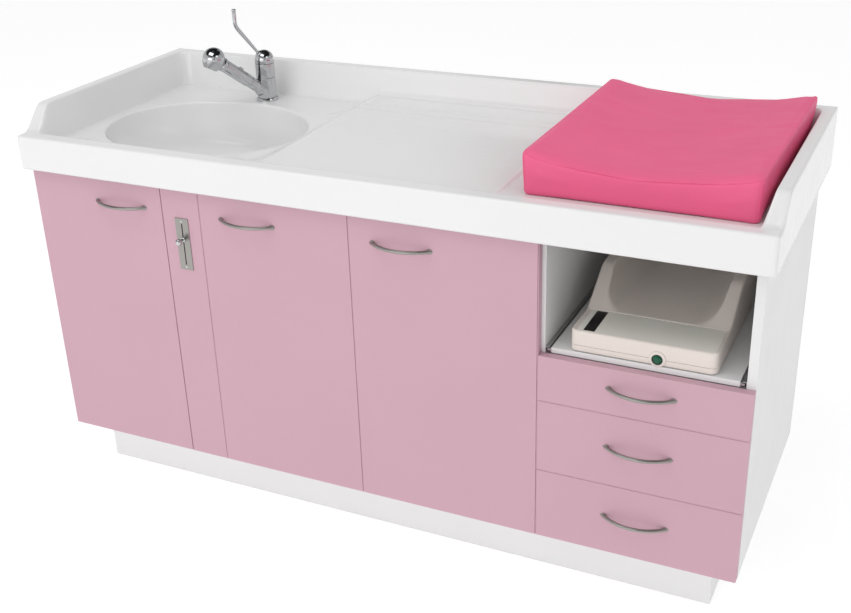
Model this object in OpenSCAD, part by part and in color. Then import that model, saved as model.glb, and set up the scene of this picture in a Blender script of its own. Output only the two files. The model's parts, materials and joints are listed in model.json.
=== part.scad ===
// Baby changing unit with a bath basin: a moulded worktop on a panel-built cabinet.
// Millimetres. X runs along the front, +Y goes towards the wall, +Z is up.
// The origin is on the floor, under the middle of the unit.

/* [Overall] */
// Length of the worktop
worktop_w = 1750; // [1650:10:2200]
// Depth of the worktop
worktop_d = 660; // [640:5:800]
// Height of the worktop's front rim above the floor
rim_z = 900; // [860:5:1080]

/* [Worktop] */
// Height of the lip that hangs in front of the cabinet
lip_h = 80; // [60:1:100]
// Thickness of the moulded shell
shell_t = 12; // [8:0.5:16]
// Height of the upstand above the rim
upstand_h = 57; // [30:1:90]
// Thickness of the upstand at its top
upstand_top_t = 28; // [20:1:40]
// Thickness of the upstand at its foot
upstand_foot_t = 46; // [36:1:60]
// Flat width of the front rim
rim_flat = 34; // [25:1:50]
// Drop from the rim to the wet deck round the basin
wet_drop = 30; // [22:1:36]
// Drop from the rim to the middle platform
platform_drop = 15; // [10:1:20]
// Drop from the rim to the mat's recess
mat_drop = 20; // [16:1:24]
// Drop from the rim to the back ledge
ledge_drop = 8; // [4:1:9]
// Where the wet deck ends, from the left end
wet_w = 622; // [600:1:660]
// Length of the mat's recess, with the right upstand
mat_zone_w = 565; // [540:1:620]
// Depth of the back ledge, with the upstand
ledge_d = 140; // [100:1:160]

/* [Basin] */
// Basin centre from the left end
basin_x = 341; // [330:1:350]
// Basin centre from the front
basin_y = 297; // [290:1:310]
// Half length of the basin's mouth
basin_a = 256; // [200:1:258]
// Half depth of the basin's mouth
basin_b = 210; // [150:1:212]
// Depth of the basin
basin_deep = 122; // [90:1:150]
// Wall of the basin
basin_wall = 8; // [5:0.5:10]
// How far behind the basin's centre its drain lies
drain_back = 100; // [40:1:104]

/* [Cabinet] */
// Thickness of the cabinet's boards
board_t = 19; // [16:0.5:22]
// Distance from a worktop end to the cabinet's side
side_inset = 20; // [16:1:30]
// Height of the plinth
plinth_h = 119; // [90:1:140]
// Distance from the worktop's front to the plinth
plinth_setback = 78; // [60:1:110]
// Distance from a worktop end to the plinth
plinth_inset = 79; // [60:1:110]
// Distance from the worktop's back to the back panel
service_d = 40; // [36:1:60]
// Thickness of the back panel
back_t = 8; // [5:0.5:12]
// Width of the rails under the worktop
rail_w = 40; // [38:1:42]

/* [Fronts] */
// Thickness of the doors and drawer fronts
front_t = 19; // [16:0.5:22]
// Distance from the lip's face to the fronts' face
front_setback = 16; // [14:0.5:24]
// Gap between two fronts
front_gap = 3; // [2:0.5:4]
// Width of the fixed slim panel, with its gap
slim_w = 102; // [90:1:130]
// Width of the middle door, with its gap
middle_door_w = 378; // [360:1:420]
// Width of the right door, with its gap
right_door_w = 427; // [380:1:460]
// Width of the drawers, with their gap
drawer_front_w = 438; // [400:1:470]
// Height of the top drawer's front, with its gap
top_drawer_h = 105; // [100:1:120]
// Height of each deep drawer's front, with its gap
deep_drawer_h = 170; // [160:1:185]

/* [Handles] */
// Length of a bow handle
handle_l = 148; // [120:1:160]
// How far a handle stands out of its front
handle_reach = 30; // [24:1:36]
// Radius of a handle's rod
handle_r = 4; // [3:0.25:5]
// From a door's top to its handle
handle_drop = 57; // [40:1:90]
// From a door's free edge to its handle's middle
handle_edge = 122; // [100:1:140]
// How far a drawer's handle sits above its middle
handle_rise = 7; // [0:1:12]

/* [Drawers and scale tray] */
// Length of the drawer boxes and their runners
runner_l = 500; // [450:10:520]
// Space for one pair of runners beside a box
runner_t = 13; // [12.5:0.5:16]
// Thickness of the drawer sides
drawer_side_t = 12; // [10:0.5:16]
// Thickness of the scale tray
tray_t = 12; // [10:0.5:18]
// Thickness of the shelf in the cupboard
shelf_t = 16; // [12:1:22]

/* [Drain control] */
// Width of the slotted plate
plate_w = 35; // [30:1:50]
// Height of the slotted plate
plate_h = 126; // [100:1:150]
// Width of the plate's slot
slot_w = 2.6; // [2.4:0.1:5]
// Length of the plate's slot
slot_l = 101; // [80:1:104]
// Radius of the ball knob
knob_r = 8; // [6:0.5:9]
// From the top of the slim panel to the plate's middle
plate_drop = 132; // [110:1:200]

/* [Mixer] */
// Mixer's axis, from the worktop's back
mixer_back = 102; // [98:1:106]
// Radius of the mixer's column
column_r = 25; // [20:0.5:28]
// Height of the swivelling sleeve
sleeve_h = 52; // [45:1:60]
// Turn of the arm and lever from straight forwards, towards the left
arm_turn = 25; // [0:1:60]
// Upward slope of the arm
arm_slope = 38; // [30:1:45]
// Radius of the arm
arm_r = 15; // [12:0.5:16]
// From the column's axis to the end of the arm
arm_l = 63; // [55:1:80]
// From the column's axis to the middle of the spray head
head_at = 186; // [160:1:200]
// Radius of the spray head
head_r = 28; // [22:0.5:32]
// Upward slope of the lever
lever_slope = 53; // [45:1:60]
// Length of the lever's sloping rod
lever_l = 120; // [90:1:140]
// Length of the lever's upright tip
lever_tip = 38; // [20:1:60]
// Radius of the lever's rod
lever_r = 4.5; // [3.5:0.25:5.5]

/* [Mat] */
// Length of the changing mat along the front
mat_w = 462; // [400:1:480]
// Depth of the changing mat
mat_d = 520; // [400:1:524]
// Height of the mat's raised sides at the front
mat_h = 91; // [60:1:110]
// How much higher the mat's sides are at the back
mat_back_rise = 20; // [0:1:30]
// How far the mat dips in the middle
mat_dip = 32; // [10:1:45]

/* [Scale] */
// Width of the baby scale
scale_w = 290; // [260:1:310]
// Length of the baby scale
scale_l = 550; // [500:1:555]
// Depth of the scale's console
console_d = 108; // [90:1:120]
// Height of the console's top above the tray
console_h = 48; // [44:1:55]
// Height of the cradle's sides above the tray
cradle_h = 112; // [90:1:120]
// Half width of the cradle's trough
trough_half = 117; // [105:1:120]
// Radius of the start button
button_r = 8; // [6:0.5:8.5]
// How far right of the middle the start button is
button_off = 28; // [0:1:60]

/* [Hidden] */

$fn = 48;

// Colours
moulding = [0.95, 0.95, 0.95];
white_board = [0.90, 0.90, 0.90];
pink_front = [0.80, 0.67, 0.71];
mat_pink = [0.87, 0.40, 0.54];
steel = [0.62, 0.62, 0.61];
chrome = [0.78, 0.79, 0.80];
zinc = [0.70, 0.71, 0.72];
plastic_white = [0.93, 0.93, 0.93];
copper = [0.72, 0.45, 0.30];
cream = [0.88, 0.84, 0.80];

// The front of the bounding box is the face of the handles
handle_over = handle_reach - front_setback;
lip_y = -(worktop_d - handle_over) / 2;

// Levels
wet_z = rim_z - wet_drop;
platform_z = rim_z - platform_drop;
mat_z = rim_z - mat_drop;
ledge_z = rim_z - ledge_drop;
deck_t = 10;
deck_low_z = wet_z - deck_t;
lip_low_z = rim_z - lip_h;
upstand_top_z = rim_z + upstand_h;

// Cabinet frame
panel_y = front_setback + front_t + 1;
side_x0 = side_inset;
side_x1 = worktop_w - side_inset;
inner_x0 = side_x0 + board_t;
inner_x1 = side_x1 - board_t;
back_y = worktop_d - service_d - back_t;
panel_back_y = worktop_d - 2;
rail_low_z = deck_low_z - board_t;
floor_board_z = plinth_h + board_t;

// Fronts, from the right end to the left
front_low_z = plinth_h + 2;
front_top_z = lip_low_z - 3;
drawer_x1 = side_x1;
drawer_x0 = drawer_x1 - drawer_front_w;
right_door_x0 = drawer_x0 - right_door_w;
middle_door_x0 = right_door_x0 - middle_door_w;
slim_x0 = middle_door_x0 - slim_w;
half_gap = front_gap / 2;

// Drawer fronts and boxes: [bottom of front, top of front, height of box]
bottom_drawer_z = front_low_z;
middle_drawer_z = bottom_drawer_z + deep_drawer_h;
top_drawer_z = middle_drawer_z + deep_drawer_h;
drawers_top_z = top_drawer_z + top_drawer_h;
box_lift = 18;
deep_box_h = 120;
top_box_h = 50;

// Niche: its tray hides the shelf, whose front edge the top drawer covers
niche_x0 = drawer_x0 + board_t / 2;
niche_x1 = inner_x1;
niche_mid = (niche_x0 + niche_x1) / 2;
tray_over_front = 0.5;
tray_low_z = drawers_top_z + tray_over_front;
tray_top_z = tray_low_z + tray_t;
tray_y = panel_y + 1;
tray_back_y = back_y - 12;
shelf_board_top_z = tray_low_z - 5;

// Drain control
plate_t = 2;
plate_x = slim_x0 + slim_w / 2;
plate_z = front_top_z - plate_drop;
knob_over_middle = 12;
screw_pitch = plate_h - 14;
screw_r = 1.6;

// Basin rings: the outline is a superellipse and the drain side is the steep one
ring_n = 9;
side_n = 48;
bowl_power = 2 / 2.8;
bowl_floor_share = 0.2;
drain_y = basin_y + drain_back;
bowl_low_z = wet_z - basin_deep;
waste_r = 16;
waste_flange_r = 21;
waste_flange_t = 2.5;
waste_seat_z = bowl_low_z + waste_flange_t;
plug_lift = 4;

// Waste and water behind the basin
trap_top_z = bowl_low_z - 68;
trap_low_z = trap_top_z - 90;
trap_r = 32;
outlet_r = 20;
outlet_z = trap_top_z - 32;
stub_from = 2;
stub_out = service_d - 15;
pipe_step = 1;
pipe_gap = 0.5;
tail_spread = 11;
tail_r = 5;
valve_r = 9;
valve_top_z = outlet_z + outlet_r + 64;
inlet_r = 7.5;

// Mixer
mixer_y = worktop_d - mixer_back;
flange_h = 8;
sleeve_low_z = wet_z + flange_h;
sleeve_top_z = sleeve_low_z + sleeve_h;
core_r = 18;
cap_low_z = sleeve_top_z + 37;
dome_z = cap_low_z + 8;
arm_z = wet_z + 18;
lever_z = cap_low_z + 7;
shank_r = 16;
hub_r = 6.5;
hub_w = 11;
lever_pin_r = 2.5;
lever_lift = 25;
spigot_r = 10;
spigot_l = 26;
outlet_tilt = -60;

// Runners
runner_h = 30;
tray_runner_h = tray_t;

// Scale
scale_y = tray_y + 2;
foot_h = 2.5;
scale_seam_z = tray_top_z + foot_h + 12.5;
console_z = tray_top_z + console_h;
cradle_z = tray_top_z + cradle_h;
trough_z = console_z + 1;
trough_corner = 40;
corner_r = 14;
scale_x0 = niche_mid - scale_w / 2;
plate_thick = 1.2;

// Mat
mat_gap = 10;
mat_x0 = worktop_w - upstand_foot_t - mat_gap - mat_w;
mat_y0 = worktop_d - upstand_foot_t - 3 - mat_d;

module placed() {
    translate([-worktop_w / 2, lip_y, 0]) children();
}

module box(x0, x1, y0, y1, z0, z1) {
    translate([x0, y0, z0]) cube([x1 - x0, y1 - y0, z1 - z0]);
}

// A rod along +Y, from y0 to y1
module rod_y(x, y0, y1, z, r) {
    translate([x, y0, z]) rotate([-90, 0, 0]) cylinder(r = r, h = y1 - y0);
}

// A plate with four round corners, square to the axes
module round_board(x0, x1, y0, y1, z0, z1, r) {
    box(x0 + r, x1 - r, y0, y1, z0, z1);
    box(x0, x1, y0 + r, y1 - r, z0, z1);
    for (x = [x0 + r, x1 - r], y = [y0 + r, y1 - r])
        translate([x, y, z0]) cylinder(r = r, h = z1 - z0);
}

// ---------------------------------------------------------------- worktop

// A pocket with sloping sides, from its floor up past the rim
module pocket(x0, x1, y0, y1, floor_z) {
    run = 2 * (rim_z - floor_z);
    hull() {
        box(x0, x1, y0, y1, floor_z, floor_z + 0.1);
        box(x0 - run, x1 + run, y0 - run, y1 + run, rim_z, rim_z + 1);
    }
}

function ring_share(i) = i == ring_n ? bowl_floor_share : pow(cos(90 * i / ring_n), bowl_power);
function ring_depth(i) = pow(sin(90 * i / ring_n), bowl_power);

function ring_points(i, grow) = let (
    share = ring_share(i),
    deep = ring_depth(i),
    mid_y = basin_y + drain_back * pow(deep, 4)
) [for (k = [0 : side_n - 1]) [
    basin_x + (basin_a * share + grow) * cos(360 * k / side_n),
    mid_y + (basin_b * share + grow) * sin(360 * k / side_n),
    wet_z - deep * (basin_deep + grow)
]];

// The bowl's space, grown by the wall for its outside; its mouth stands lift above the deck
module bowl(grow, lift) {
    rim = ring_points(0, grow);
    points = concat(
        [for (p = rim) if (lift > 0) [p[0], p[1], wet_z + lift]],
        [for (i = [0 : ring_n], p = ring_points(i, grow)) p]
    );
    rows = len(points) / side_n - 1;
    faces = concat(
        [[for (k = [side_n - 1 : -1 : 0]) k]],
        [[for (k = [0 : side_n - 1]) rows * side_n + k]],
        [for (i = [0 : rows - 1], k = [0 : side_n - 1])
            [i * side_n + k, i * side_n + (k + 1) % side_n, (i + 1) * side_n + k]],
        [for (i = [0 : rows - 1], k = [0 : side_n - 1])
            [i * side_n + (k + 1) % side_n, (i + 1) * side_n + (k + 1) % side_n,
                (i + 1) * side_n + k]]
    );
    polyhedron(points, faces);
}

module end_upstand() {
    low = deck_low_z;
    difference() {
        translate([0, worktop_d, 0]) rotate([90, 0, 0]) linear_extrude(worktop_d)
            polygon([
                [0, low], [upstand_foot_t, low], [upstand_foot_t, wet_z],
                [upstand_top_t, upstand_top_z], [0, upstand_top_z]
            ]);
        // The front end slopes down to the rim
        translate([-1, 0, 0]) rotate([90, 0, 90]) linear_extrude(upstand_foot_t + 2)
            polygon([
                [-1, low - 1], [rim_flat + 8, low - 1], [rim_flat + 8, rim_z + 6],
                [rim_flat + 54, upstand_top_z + 1], [-1, upstand_top_z + 1]
            ]);
    }
}

module back_upstand() {
    rotate([90, 0, 90]) linear_extrude(worktop_w)
        polygon([
            [worktop_d - upstand_foot_t, deck_low_z], [worktop_d, deck_low_z],
            [worktop_d, upstand_top_z], [worktop_d - upstand_top_t, upstand_top_z],
            [worktop_d - upstand_foot_t, wet_z]
        ]);
}

module worktop() {
    foot_y = worktop_d - upstand_foot_t;
    mat_x = worktop_w - mat_zone_w;
    rim_front = rim_flat + 2;
    color(moulding) placed() difference() {
        union() {
            difference() {
                box(0, worktop_w, 0, worktop_d, lip_low_z, rim_z);
                box(shell_t, worktop_w - shell_t, shell_t, worktop_d + 1,
                    lip_low_z - 1, deck_low_z);
                pocket(upstand_foot_t, wet_w - 2 * (wet_drop - platform_drop),
                    rim_front + 2 * wet_drop, foot_y, wet_z);
                pocket(wet_w - wet_drop, mat_x + 30, rim_front + 2 * platform_drop,
                    worktop_d - ledge_d, platform_z);
                pocket(wet_w + 20, worktop_w - upstand_foot_t, rim_flat + 60, foot_y, ledge_z);
                pocket(mat_x, worktop_w - upstand_foot_t, rim_flat + 2 * mat_drop,
                    foot_y, mat_z);
            }
            end_upstand();
            translate([worktop_w, 0, 0]) mirror([1, 0, 0]) end_upstand();
            back_upstand();
            bowl(basin_wall, 0);
        }
        bowl(0, 8);
        translate([basin_x, drain_y, bowl_low_z - basin_wall - 1])
            cylinder(r = waste_r, h = basin_wall + 2);
        translate([basin_x, mixer_y, deck_low_z - 1]) cylinder(r = shank_r + 1, h = deck_t + 2);
    }
}

// ---------------------------------------------------------------- cabinet

module side_panel(x0) {
    color(white_board) placed()
        box(x0, x0 + board_t, panel_y, panel_back_y, plinth_h, deck_low_z);
}

module divider(mid_x) {
    color(white_board) placed()
        box(mid_x - board_t / 2, mid_x + board_t / 2, panel_y, back_y, floor_board_z, rail_low_z);
}

module bottom_panel() {
    color(white_board) placed()
        box(inner_x0, inner_x1, panel_y, back_y + back_t, plinth_h, floor_board_z);
}

module back_panel() {
    color(white_board) placed() difference() {
        box(inner_x0, inner_x1, back_y, back_y + back_t, floor_board_z, rail_low_z);
        rod_y(basin_x, back_y - 1, back_y + back_t + 1, outlet_z, outlet_r - pipe_step + pipe_gap);
        for (side = [-1, 1])
            rod_y(basin_x + side * tail_spread, back_y - 1, back_y + back_t + 1,
                valve_top_z - 18, inlet_r - pipe_step + pipe_gap);
    }
}

module niche_shelf() {
    color(white_board) placed()
        box(niche_x0, niche_x1, panel_y, back_y, shelf_board_top_z - board_t, shelf_board_top_z);
}

module top_rails() {
    color(white_board) placed() {
        box(inner_x0, inner_x1, panel_y, panel_y + rail_w, rail_low_z, deck_low_z);
        box(inner_x0, inner_x1, panel_back_y - rail_w, panel_back_y, rail_low_z, deck_low_z);
    }
}

module plinth_front() {
    color(white_board) placed()
        box(plinth_inset, worktop_w - plinth_inset, plinth_setback, plinth_setback + board_t,
            0, plinth_h);
}

module plinth_frame() {
    y0 = plinth_setback + board_t;
    y1 = back_y - 40;
    color(white_board) placed() {
        box(plinth_inset, worktop_w - plinth_inset, y1, y1 + board_t, 0, plinth_h);
        for (x = [plinth_inset, (worktop_w - board_t) / 2, worktop_w - plinth_inset - board_t])
            box(x, x + board_t, y0, y1, 0, plinth_h);
    }
}

module cupboard_shelf() {
    x0 = right_door_x0 + board_t / 2 + 1;
    x1 = drawer_x0 - board_t / 2 - 1;
    z = (floor_board_z + rail_low_z) / 2;
    color(white_board) placed() box(x0, x1, panel_y + 25, back_y - 4, z, z + shelf_t);
}

module shelf_pins() {
    pin_r = 2.5;
    z = (floor_board_z + rail_low_z) / 2 - pin_r;
    color(steel) placed()
        for (y = [panel_y + 70, back_y - 70]) {
            translate([right_door_x0 + board_t / 2, y, z]) rotate([0, 90, 0])
                cylinder(r = pin_r, h = 9);
            translate([drawer_x0 - board_t / 2 - 9, y, z]) rotate([0, 90, 0])
                cylinder(r = pin_r, h = 9);
        }
}

// ---------------------------------------------------------------- drain control

module slot_panel() {
    color(pink_front) placed() difference() {
        box(slim_x0 + half_gap, middle_door_x0 - half_gap, front_setback, front_setback + front_t,
            front_low_z, front_top_z);
        box(plate_x - 6, plate_x + 6, front_setback - 1, front_setback + front_t + 1,
            plate_z - slot_l / 2 - 2, plate_z + slot_l / 2 + 2);
        for (side = [-1, 1])
            rod_y(plate_x, front_setback - 1, front_setback + 14,
                plate_z + side * screw_pitch / 2, screw_r);
    }
}

module slot_plate() {
    y0 = front_setback - plate_t;
    color(steel) placed() difference() {
        box(plate_x - plate_w / 2, plate_x + plate_w / 2, y0, front_setback,
            plate_z - plate_h / 2, plate_z + plate_h / 2);
        box(plate_x - slot_w / 2, plate_x + slot_w / 2, y0 - 1, front_setback + 1,
            plate_z - (slot_l - slot_w) / 2, plate_z + (slot_l - slot_w) / 2);
        for (side = [-1, 1]) {
            rod_y(plate_x, y0 - 1, front_setback + 1,
                plate_z + side * (slot_l - slot_w) / 2, slot_w / 2);
            rod_y(plate_x, y0 - 1, front_setback + 1,
                plate_z + side * screw_pitch / 2, screw_r);
        }
    }
}

module slot_plate_screws() {
    y0 = front_setback - plate_t;
    color(chrome) placed()
        for (side = [-1, 1]) {
            rod_y(plate_x, y0 - 0.9, y0, plate_z + side * screw_pitch / 2, 2 * screw_r);
            rod_y(plate_x, y0 - 0.1, front_setback + 14, plate_z + side * screw_pitch / 2, screw_r);
        }
}

module drain_knob() {
    z = plate_z + knob_over_middle;
    ball_y = front_setback - plate_t - 18;
    color(chrome) placed() {
        translate([plate_x, ball_y, z]) sphere(r = knob_r);
        rod_y(plate_x, ball_y + knob_r - 1, front_setback - plate_t - 1, z, 3);
        rod_y(plate_x, ball_y, front_setback + front_t + 2, z, 1.1);
        box(plate_x - 12, plate_x + 12, front_setback + front_t + 1.5,
            front_setback + front_t + 9, z - 12, z + 12);
    }
}

module drain_plug() {
    z = waste_seat_z + plug_lift;
    color(chrome) placed() translate([basin_x, drain_y, 0]) {
        translate([0, 0, z]) cylinder(r1 = 18, r2 = 17, h = 3);
        translate([0, 0, z + 3]) cylinder(r1 = 17, r2 = 10, h = 2);
        translate([0, 0, z - 50]) cylinder(r = 3, h = 51);
    }
}

// ---------------------------------------------------------------- waste and water

module basin_waste() {
    color(chrome) placed() translate([basin_x, drain_y, 0]) difference() {
        union() {
            translate([0, 0, bowl_low_z]) cylinder(r = waste_flange_r, h = waste_flange_t);
            translate([0, 0, trap_top_z])
                cylinder(r = waste_r, h = bowl_low_z - trap_top_z + 1);
            translate([0, 0, bowl_low_z - basin_wall - 10]) cylinder(r = 25, h = 10);
        }
        translate([0, 0, trap_top_z - 1])
            cylinder(r = waste_r - 2, h = waste_seat_z - trap_top_z + 2);
    }
}

// A pipe from y0 through the back panel, that ends in a slightly wider stub of radius r
module stub(x, y0, z, r) {
    stub_y = back_y + back_t + stub_from;
    rod_y(x, y0, stub_y + 1, z, r - pipe_step);
    rod_y(x, stub_y, back_y + back_t + stub_out, z, r);
}

module waste_trap() {
    color(plastic_white) placed() difference() {
        union() {
            translate([basin_x, drain_y, trap_low_z])
                cylinder(r = trap_r, h = trap_top_z - trap_low_z);
            translate([basin_x, drain_y, trap_low_z + 14]) cylinder(r = trap_r + 4, h = 12);
            stub(basin_x, drain_y, outlet_z, outlet_r);
        }
        translate([basin_x, drain_y, trap_low_z + 4])
            cylinder(r = waste_r - 2, h = trap_top_z - trap_low_z);
        rod_y(basin_x, drain_y, back_y + back_t + stub_out + 1, outlet_z, outlet_r - 3);
    }
}

module water_valves() {
    color(chrome) placed()
        for (side = [-1, 1]) {
            x = basin_x + side * tail_spread;
            translate([x, mixer_y, valve_top_z - 32]) cylinder(r = valve_r, h = 32);
            stub(x, mixer_y, valve_top_z - 18, inlet_r);
            rod_y(x, mixer_y - 16, mixer_y, valve_top_z - 18, 5);
            rod_y(x, mixer_y - 26, mixer_y - 15, valve_top_z - 18, valve_r);
        }
}

module water_tails() {
    low = deck_low_z - 38;
    color(copper) placed()
        for (side = [-1, 1])
            translate([basin_x + side * tail_spread, mixer_y, valve_top_z])
                cylinder(r = tail_r, h = low - valve_top_z);
}

// ---------------------------------------------------------------- mixer

// Points a child's +Z along the arm's heading, at a slope above the horizontal
module heading(slope) {
    rotate([0, 0, -arm_turn]) rotate([90 - slope, 0, 0]) children();
}

module mixer_body() {
    color(chrome) placed() translate([basin_x, mixer_y, 0]) {
        translate([0, 0, deck_low_z - 38]) cylinder(r = shank_r, h = deck_t + 39);
        translate([0, 0, deck_low_z - 8]) cylinder(r = 26, h = 8, $fn = 6);
        translate([0, 0, wet_z]) cylinder(r = column_r + 3, h = 3);
        translate([0, 0, wet_z + 3]) cylinder(r1 = column_r + 3, r2 = column_r + 1, h = 5);
        translate([0, 0, wet_z + 7]) cylinder(r = core_r, h = sleeve_h + 3);
        translate([0, 0, sleeve_top_z + 0.3])
            cylinder(r = column_r, h = cap_low_z - sleeve_top_z - 0.3);
    }
}

module mixer_spout() {
    color(chrome) placed() translate([basin_x, mixer_y, 0]) difference() {
        union() {
            translate([0, 0, sleeve_low_z + 0.3]) cylinder(r = column_r, h = sleeve_h - 0.3);
            translate([0, 0, arm_z]) heading(arm_slope)
                translate([0, 0, 14]) cylinder(r = arm_r, h = arm_l - 14);
        }
        translate([0, 0, sleeve_low_z - 5]) cylinder(r = core_r + 0.06, h = sleeve_h + 10);
        translate([0, 0, arm_z]) heading(arm_slope)
            translate([0, 0, arm_l - spigot_l - 2]) cylinder(r = spigot_r + 0.3, h = spigot_l + 3);
    }
}

module spray_handle() {
    neck_r = arm_r + 1.5;
    color(chrome) placed() translate([basin_x, mixer_y, arm_z]) heading(arm_slope) {
        difference() {
            union() {
                translate([0, 0, arm_l - spigot_l]) cylinder(r = spigot_r, h = spigot_l + 2);
                translate([0, 0, arm_l + 0.5]) cylinder(r = arm_r, h = 5);
                translate([0, 0, arm_l + 5])
                    cylinder(r = neck_r, h = head_at - arm_l - head_r * 0.8 - 5);
                translate([0, 0, head_at]) sphere(r = head_r);
            }
            // The flat where the spray face sits
            translate([0, 0, head_at]) rotate([arm_slope - outlet_tilt, 0, 0])
                translate([0, 0, 0.7 * head_r]) cylinder(r = head_r, h = head_r);
        }
    }
}

module spray_face() {
    disc_r = head_r * 0.68;
    color(plastic_white) placed() translate([basin_x, mixer_y, arm_z]) heading(arm_slope)
        translate([0, 0, head_at]) rotate([arm_slope - outlet_tilt, 0, 0])
            translate([0, 0, 0.7 * head_r]) cylinder(r = disc_r, h = 3);
}

module mixer_cap() {
    color(chrome) placed() translate([basin_x, mixer_y, 0]) {
        difference() {
            union() {
                translate([0, 0, cap_low_z + 0.3]) cylinder(r = column_r, h = dome_z - cap_low_z);
                translate([0, 0, dome_z]) sphere(r = column_r);
            }
            translate([0, 0, dome_z - 2 * column_r + 0.3 - (dome_z - cap_low_z)])
                cylinder(r = column_r + 1, h = 2 * column_r);
            // Slot in which the lever tilts
            rotate([0, 0, -arm_turn]) translate([hub_w / 2 + 0.5, 0, lever_z])
                rotate([90, 0, -90]) linear_extrude(hub_w + 1) {
                    circle(r = hub_r + 0.6);
                    polygon([
                        [5 * sin(lever_slope), -5 * cos(lever_slope)],
                        [60 * cos(lever_slope) + 5 * sin(lever_slope),
                            60 * sin(lever_slope) - 5 * cos(lever_slope)],
                        [60 * cos(lever_slope + lever_lift) - 6, 60 * sin(lever_slope + lever_lift)],
                        [-5.2, 2]
                    ]);
                }
        }
        rotate([0, 0, -arm_turn]) translate([-hub_w / 2 - 2, 0, lever_z]) rotate([0, 90, 0])
            cylinder(r = lever_pin_r, h = hub_w + 4);
    }
}

module mixer_lever() {
    color(chrome) placed() translate([basin_x, mixer_y, lever_z]) {
        difference() {
            union() {
                rotate([0, 0, -arm_turn]) translate([-hub_w / 2, 0, 0]) rotate([0, 90, 0])
                    cylinder(r = hub_r, h = hub_w);
                heading(lever_slope) {
                    cylinder(r = lever_r, h = lever_l);
                    translate([0, 0, lever_l]) sphere(r = lever_r + 0.4);
                }
                heading(lever_slope) translate([0, 0, lever_l])
                    rotate([lever_slope - 90, 0, 0]) {
                        cylinder(r = lever_r, h = lever_tip);
                        translate([0, 0, lever_tip]) sphere(r = lever_r + 0.4);
                    }
            }
            rotate([0, 0, -arm_turn]) translate([-hub_w, 0, 0]) rotate([0, 90, 0])
                cylinder(r = lever_pin_r + 0.06, h = 2 * hub_w);
        }
    }
}

// ---------------------------------------------------------------- fronts and handles

// A bow handle: an arc that stands out of the front's face
module bow_handle(mid_x, z) {
    sag = handle_reach - handle_r;
    half = handle_l / 2 - 1.5 * handle_r;
    arc_r = (half * half + sag * sag) / (2 * sag);
    half_angle = asin(half / arc_r) + 4;
    color(steel) placed() translate([mid_x, front_setback, z]) difference() {
        translate([0, arc_r - sag, 0]) rotate([0, 0, -90 - half_angle])
            rotate_extrude(angle = 2 * half_angle, $fn = 96) translate([arc_r, 0])
                circle(r = handle_r, $fn = 24);
        box(-handle_l, handle_l, 0, 40, -20, 20);
    }
}

module front_panel(x0, x1, z0, z1) {
    color(pink_front) placed()
        box(x0 + half_gap, x1 - half_gap, front_setback, front_setback + front_t, z0, z1);
}

hinge_in = 90;
hinge_levels = [front_low_z + hinge_in, front_top_z - hinge_in];
cup_r = 17.5;
cup_deep = 12;
cup_edge = 22;

// side is 1 where the hinges are at the door's left edge, and -1 at its right edge
module hinged_door(x0, x1, side) {
    edge = side > 0 ? x0 : x1;
    color(pink_front) placed() difference() {
        box(x0, x1, front_setback, front_setback + front_t, front_low_z, front_top_z);
        for (z = hinge_levels)
            rod_y(edge + side * cup_edge, front_setback + front_t - cup_deep,
                front_setback + front_t + 1, z, cup_r);
    }
}

// Cups in the door, with the knuckle that reaches back to the panel at panel_face
module door_hinges(edge, panel_face, side) {
    back = front_setback + front_t;
    knuckle = panel_face + side * 10;
    color(zinc) placed()
        for (z = hinge_levels) {
            difference() {
                rod_y(edge + side * cup_edge, back - cup_deep, back, z, cup_r);
                rod_y(edge + side * cup_edge, back - cup_deep + 1.5, back + 1, z, cup_r - 1.5);
            }
            box(knuckle - 5.5, knuckle + 5.5, back - cup_deep + 1, back + 6, z - 7, z + 7);
        }
}

// Arms and mounting plates of every concealed hinge, on the cabinet
module hinge_plates() {
    color(zinc) placed()
        for (face = [[inner_x0, 1], [right_door_x0 - board_t / 2, -1], [drawer_x0 - board_t / 2, -1]],
                z = hinge_levels) {
            x = face[0];
            s = face[1];
            box(min(x, x + s * 2), max(x, x + s * 2), panel_y + 24, panel_y + 64, z - 24, z + 24);
            box(min(x + s * 2, x + s * 16), max(x + s * 2, x + s * 16),
                panel_y + 8, panel_y + 62, z - 6.5, z + 6.5);
        }
}

// ---------------------------------------------------------------- drawers and tray

// The cabinet's half of a runner: a channel that opens towards s
module runner_channel(x, s, z, h, y0) {
    box(min(x, x + s * 1.5), max(x, x + s * 1.5), y0, y0 + runner_l, z, z + h);
    for (zz = [z, z + h - 1.5])
        box(min(x, x + s * 9), max(x, x + s * 9), y0, y0 + runner_l, zz, zz + 1.5);
}

// The moving half: a bar on the box that rides in the channel
module runner_bar(x, s, z, h, y0) {
    box(min(x, x - s * 2), max(x, x - s * 2), y0, y0 + runner_l, z + 1, z + h - 1);
    box(min(x - s * 2, x - s * 9), max(x - s * 2, x - s * 9), y0, y0 + runner_l,
        z + h * 0.3, z + h * 0.7);
}

function box_z(z0) = z0 + box_lift;

module cabinet_runners() {
    color(zinc) placed() {
        for (z0 = [bottom_drawer_z, middle_drawer_z, top_drawer_z]) {
            runner_channel(niche_x0, 1, box_z(z0) + 6, runner_h, panel_y + 2);
            runner_channel(niche_x1, -1, box_z(z0) + 6, runner_h, panel_y + 2);
        }
        runner_channel(niche_x0, 1, tray_low_z, tray_runner_h, panel_y + 2);
        runner_channel(niche_x1, -1, tray_low_z, tray_runner_h, panel_y + 2);
    }
}

module drawer_runners(z0) {
    color(zinc) placed() {
        runner_bar(niche_x0 + runner_t, 1, box_z(z0) + 6, runner_h, panel_y + 2);
        runner_bar(niche_x1 - runner_t, -1, box_z(z0) + 6, runner_h, panel_y + 2);
    }
}

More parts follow.
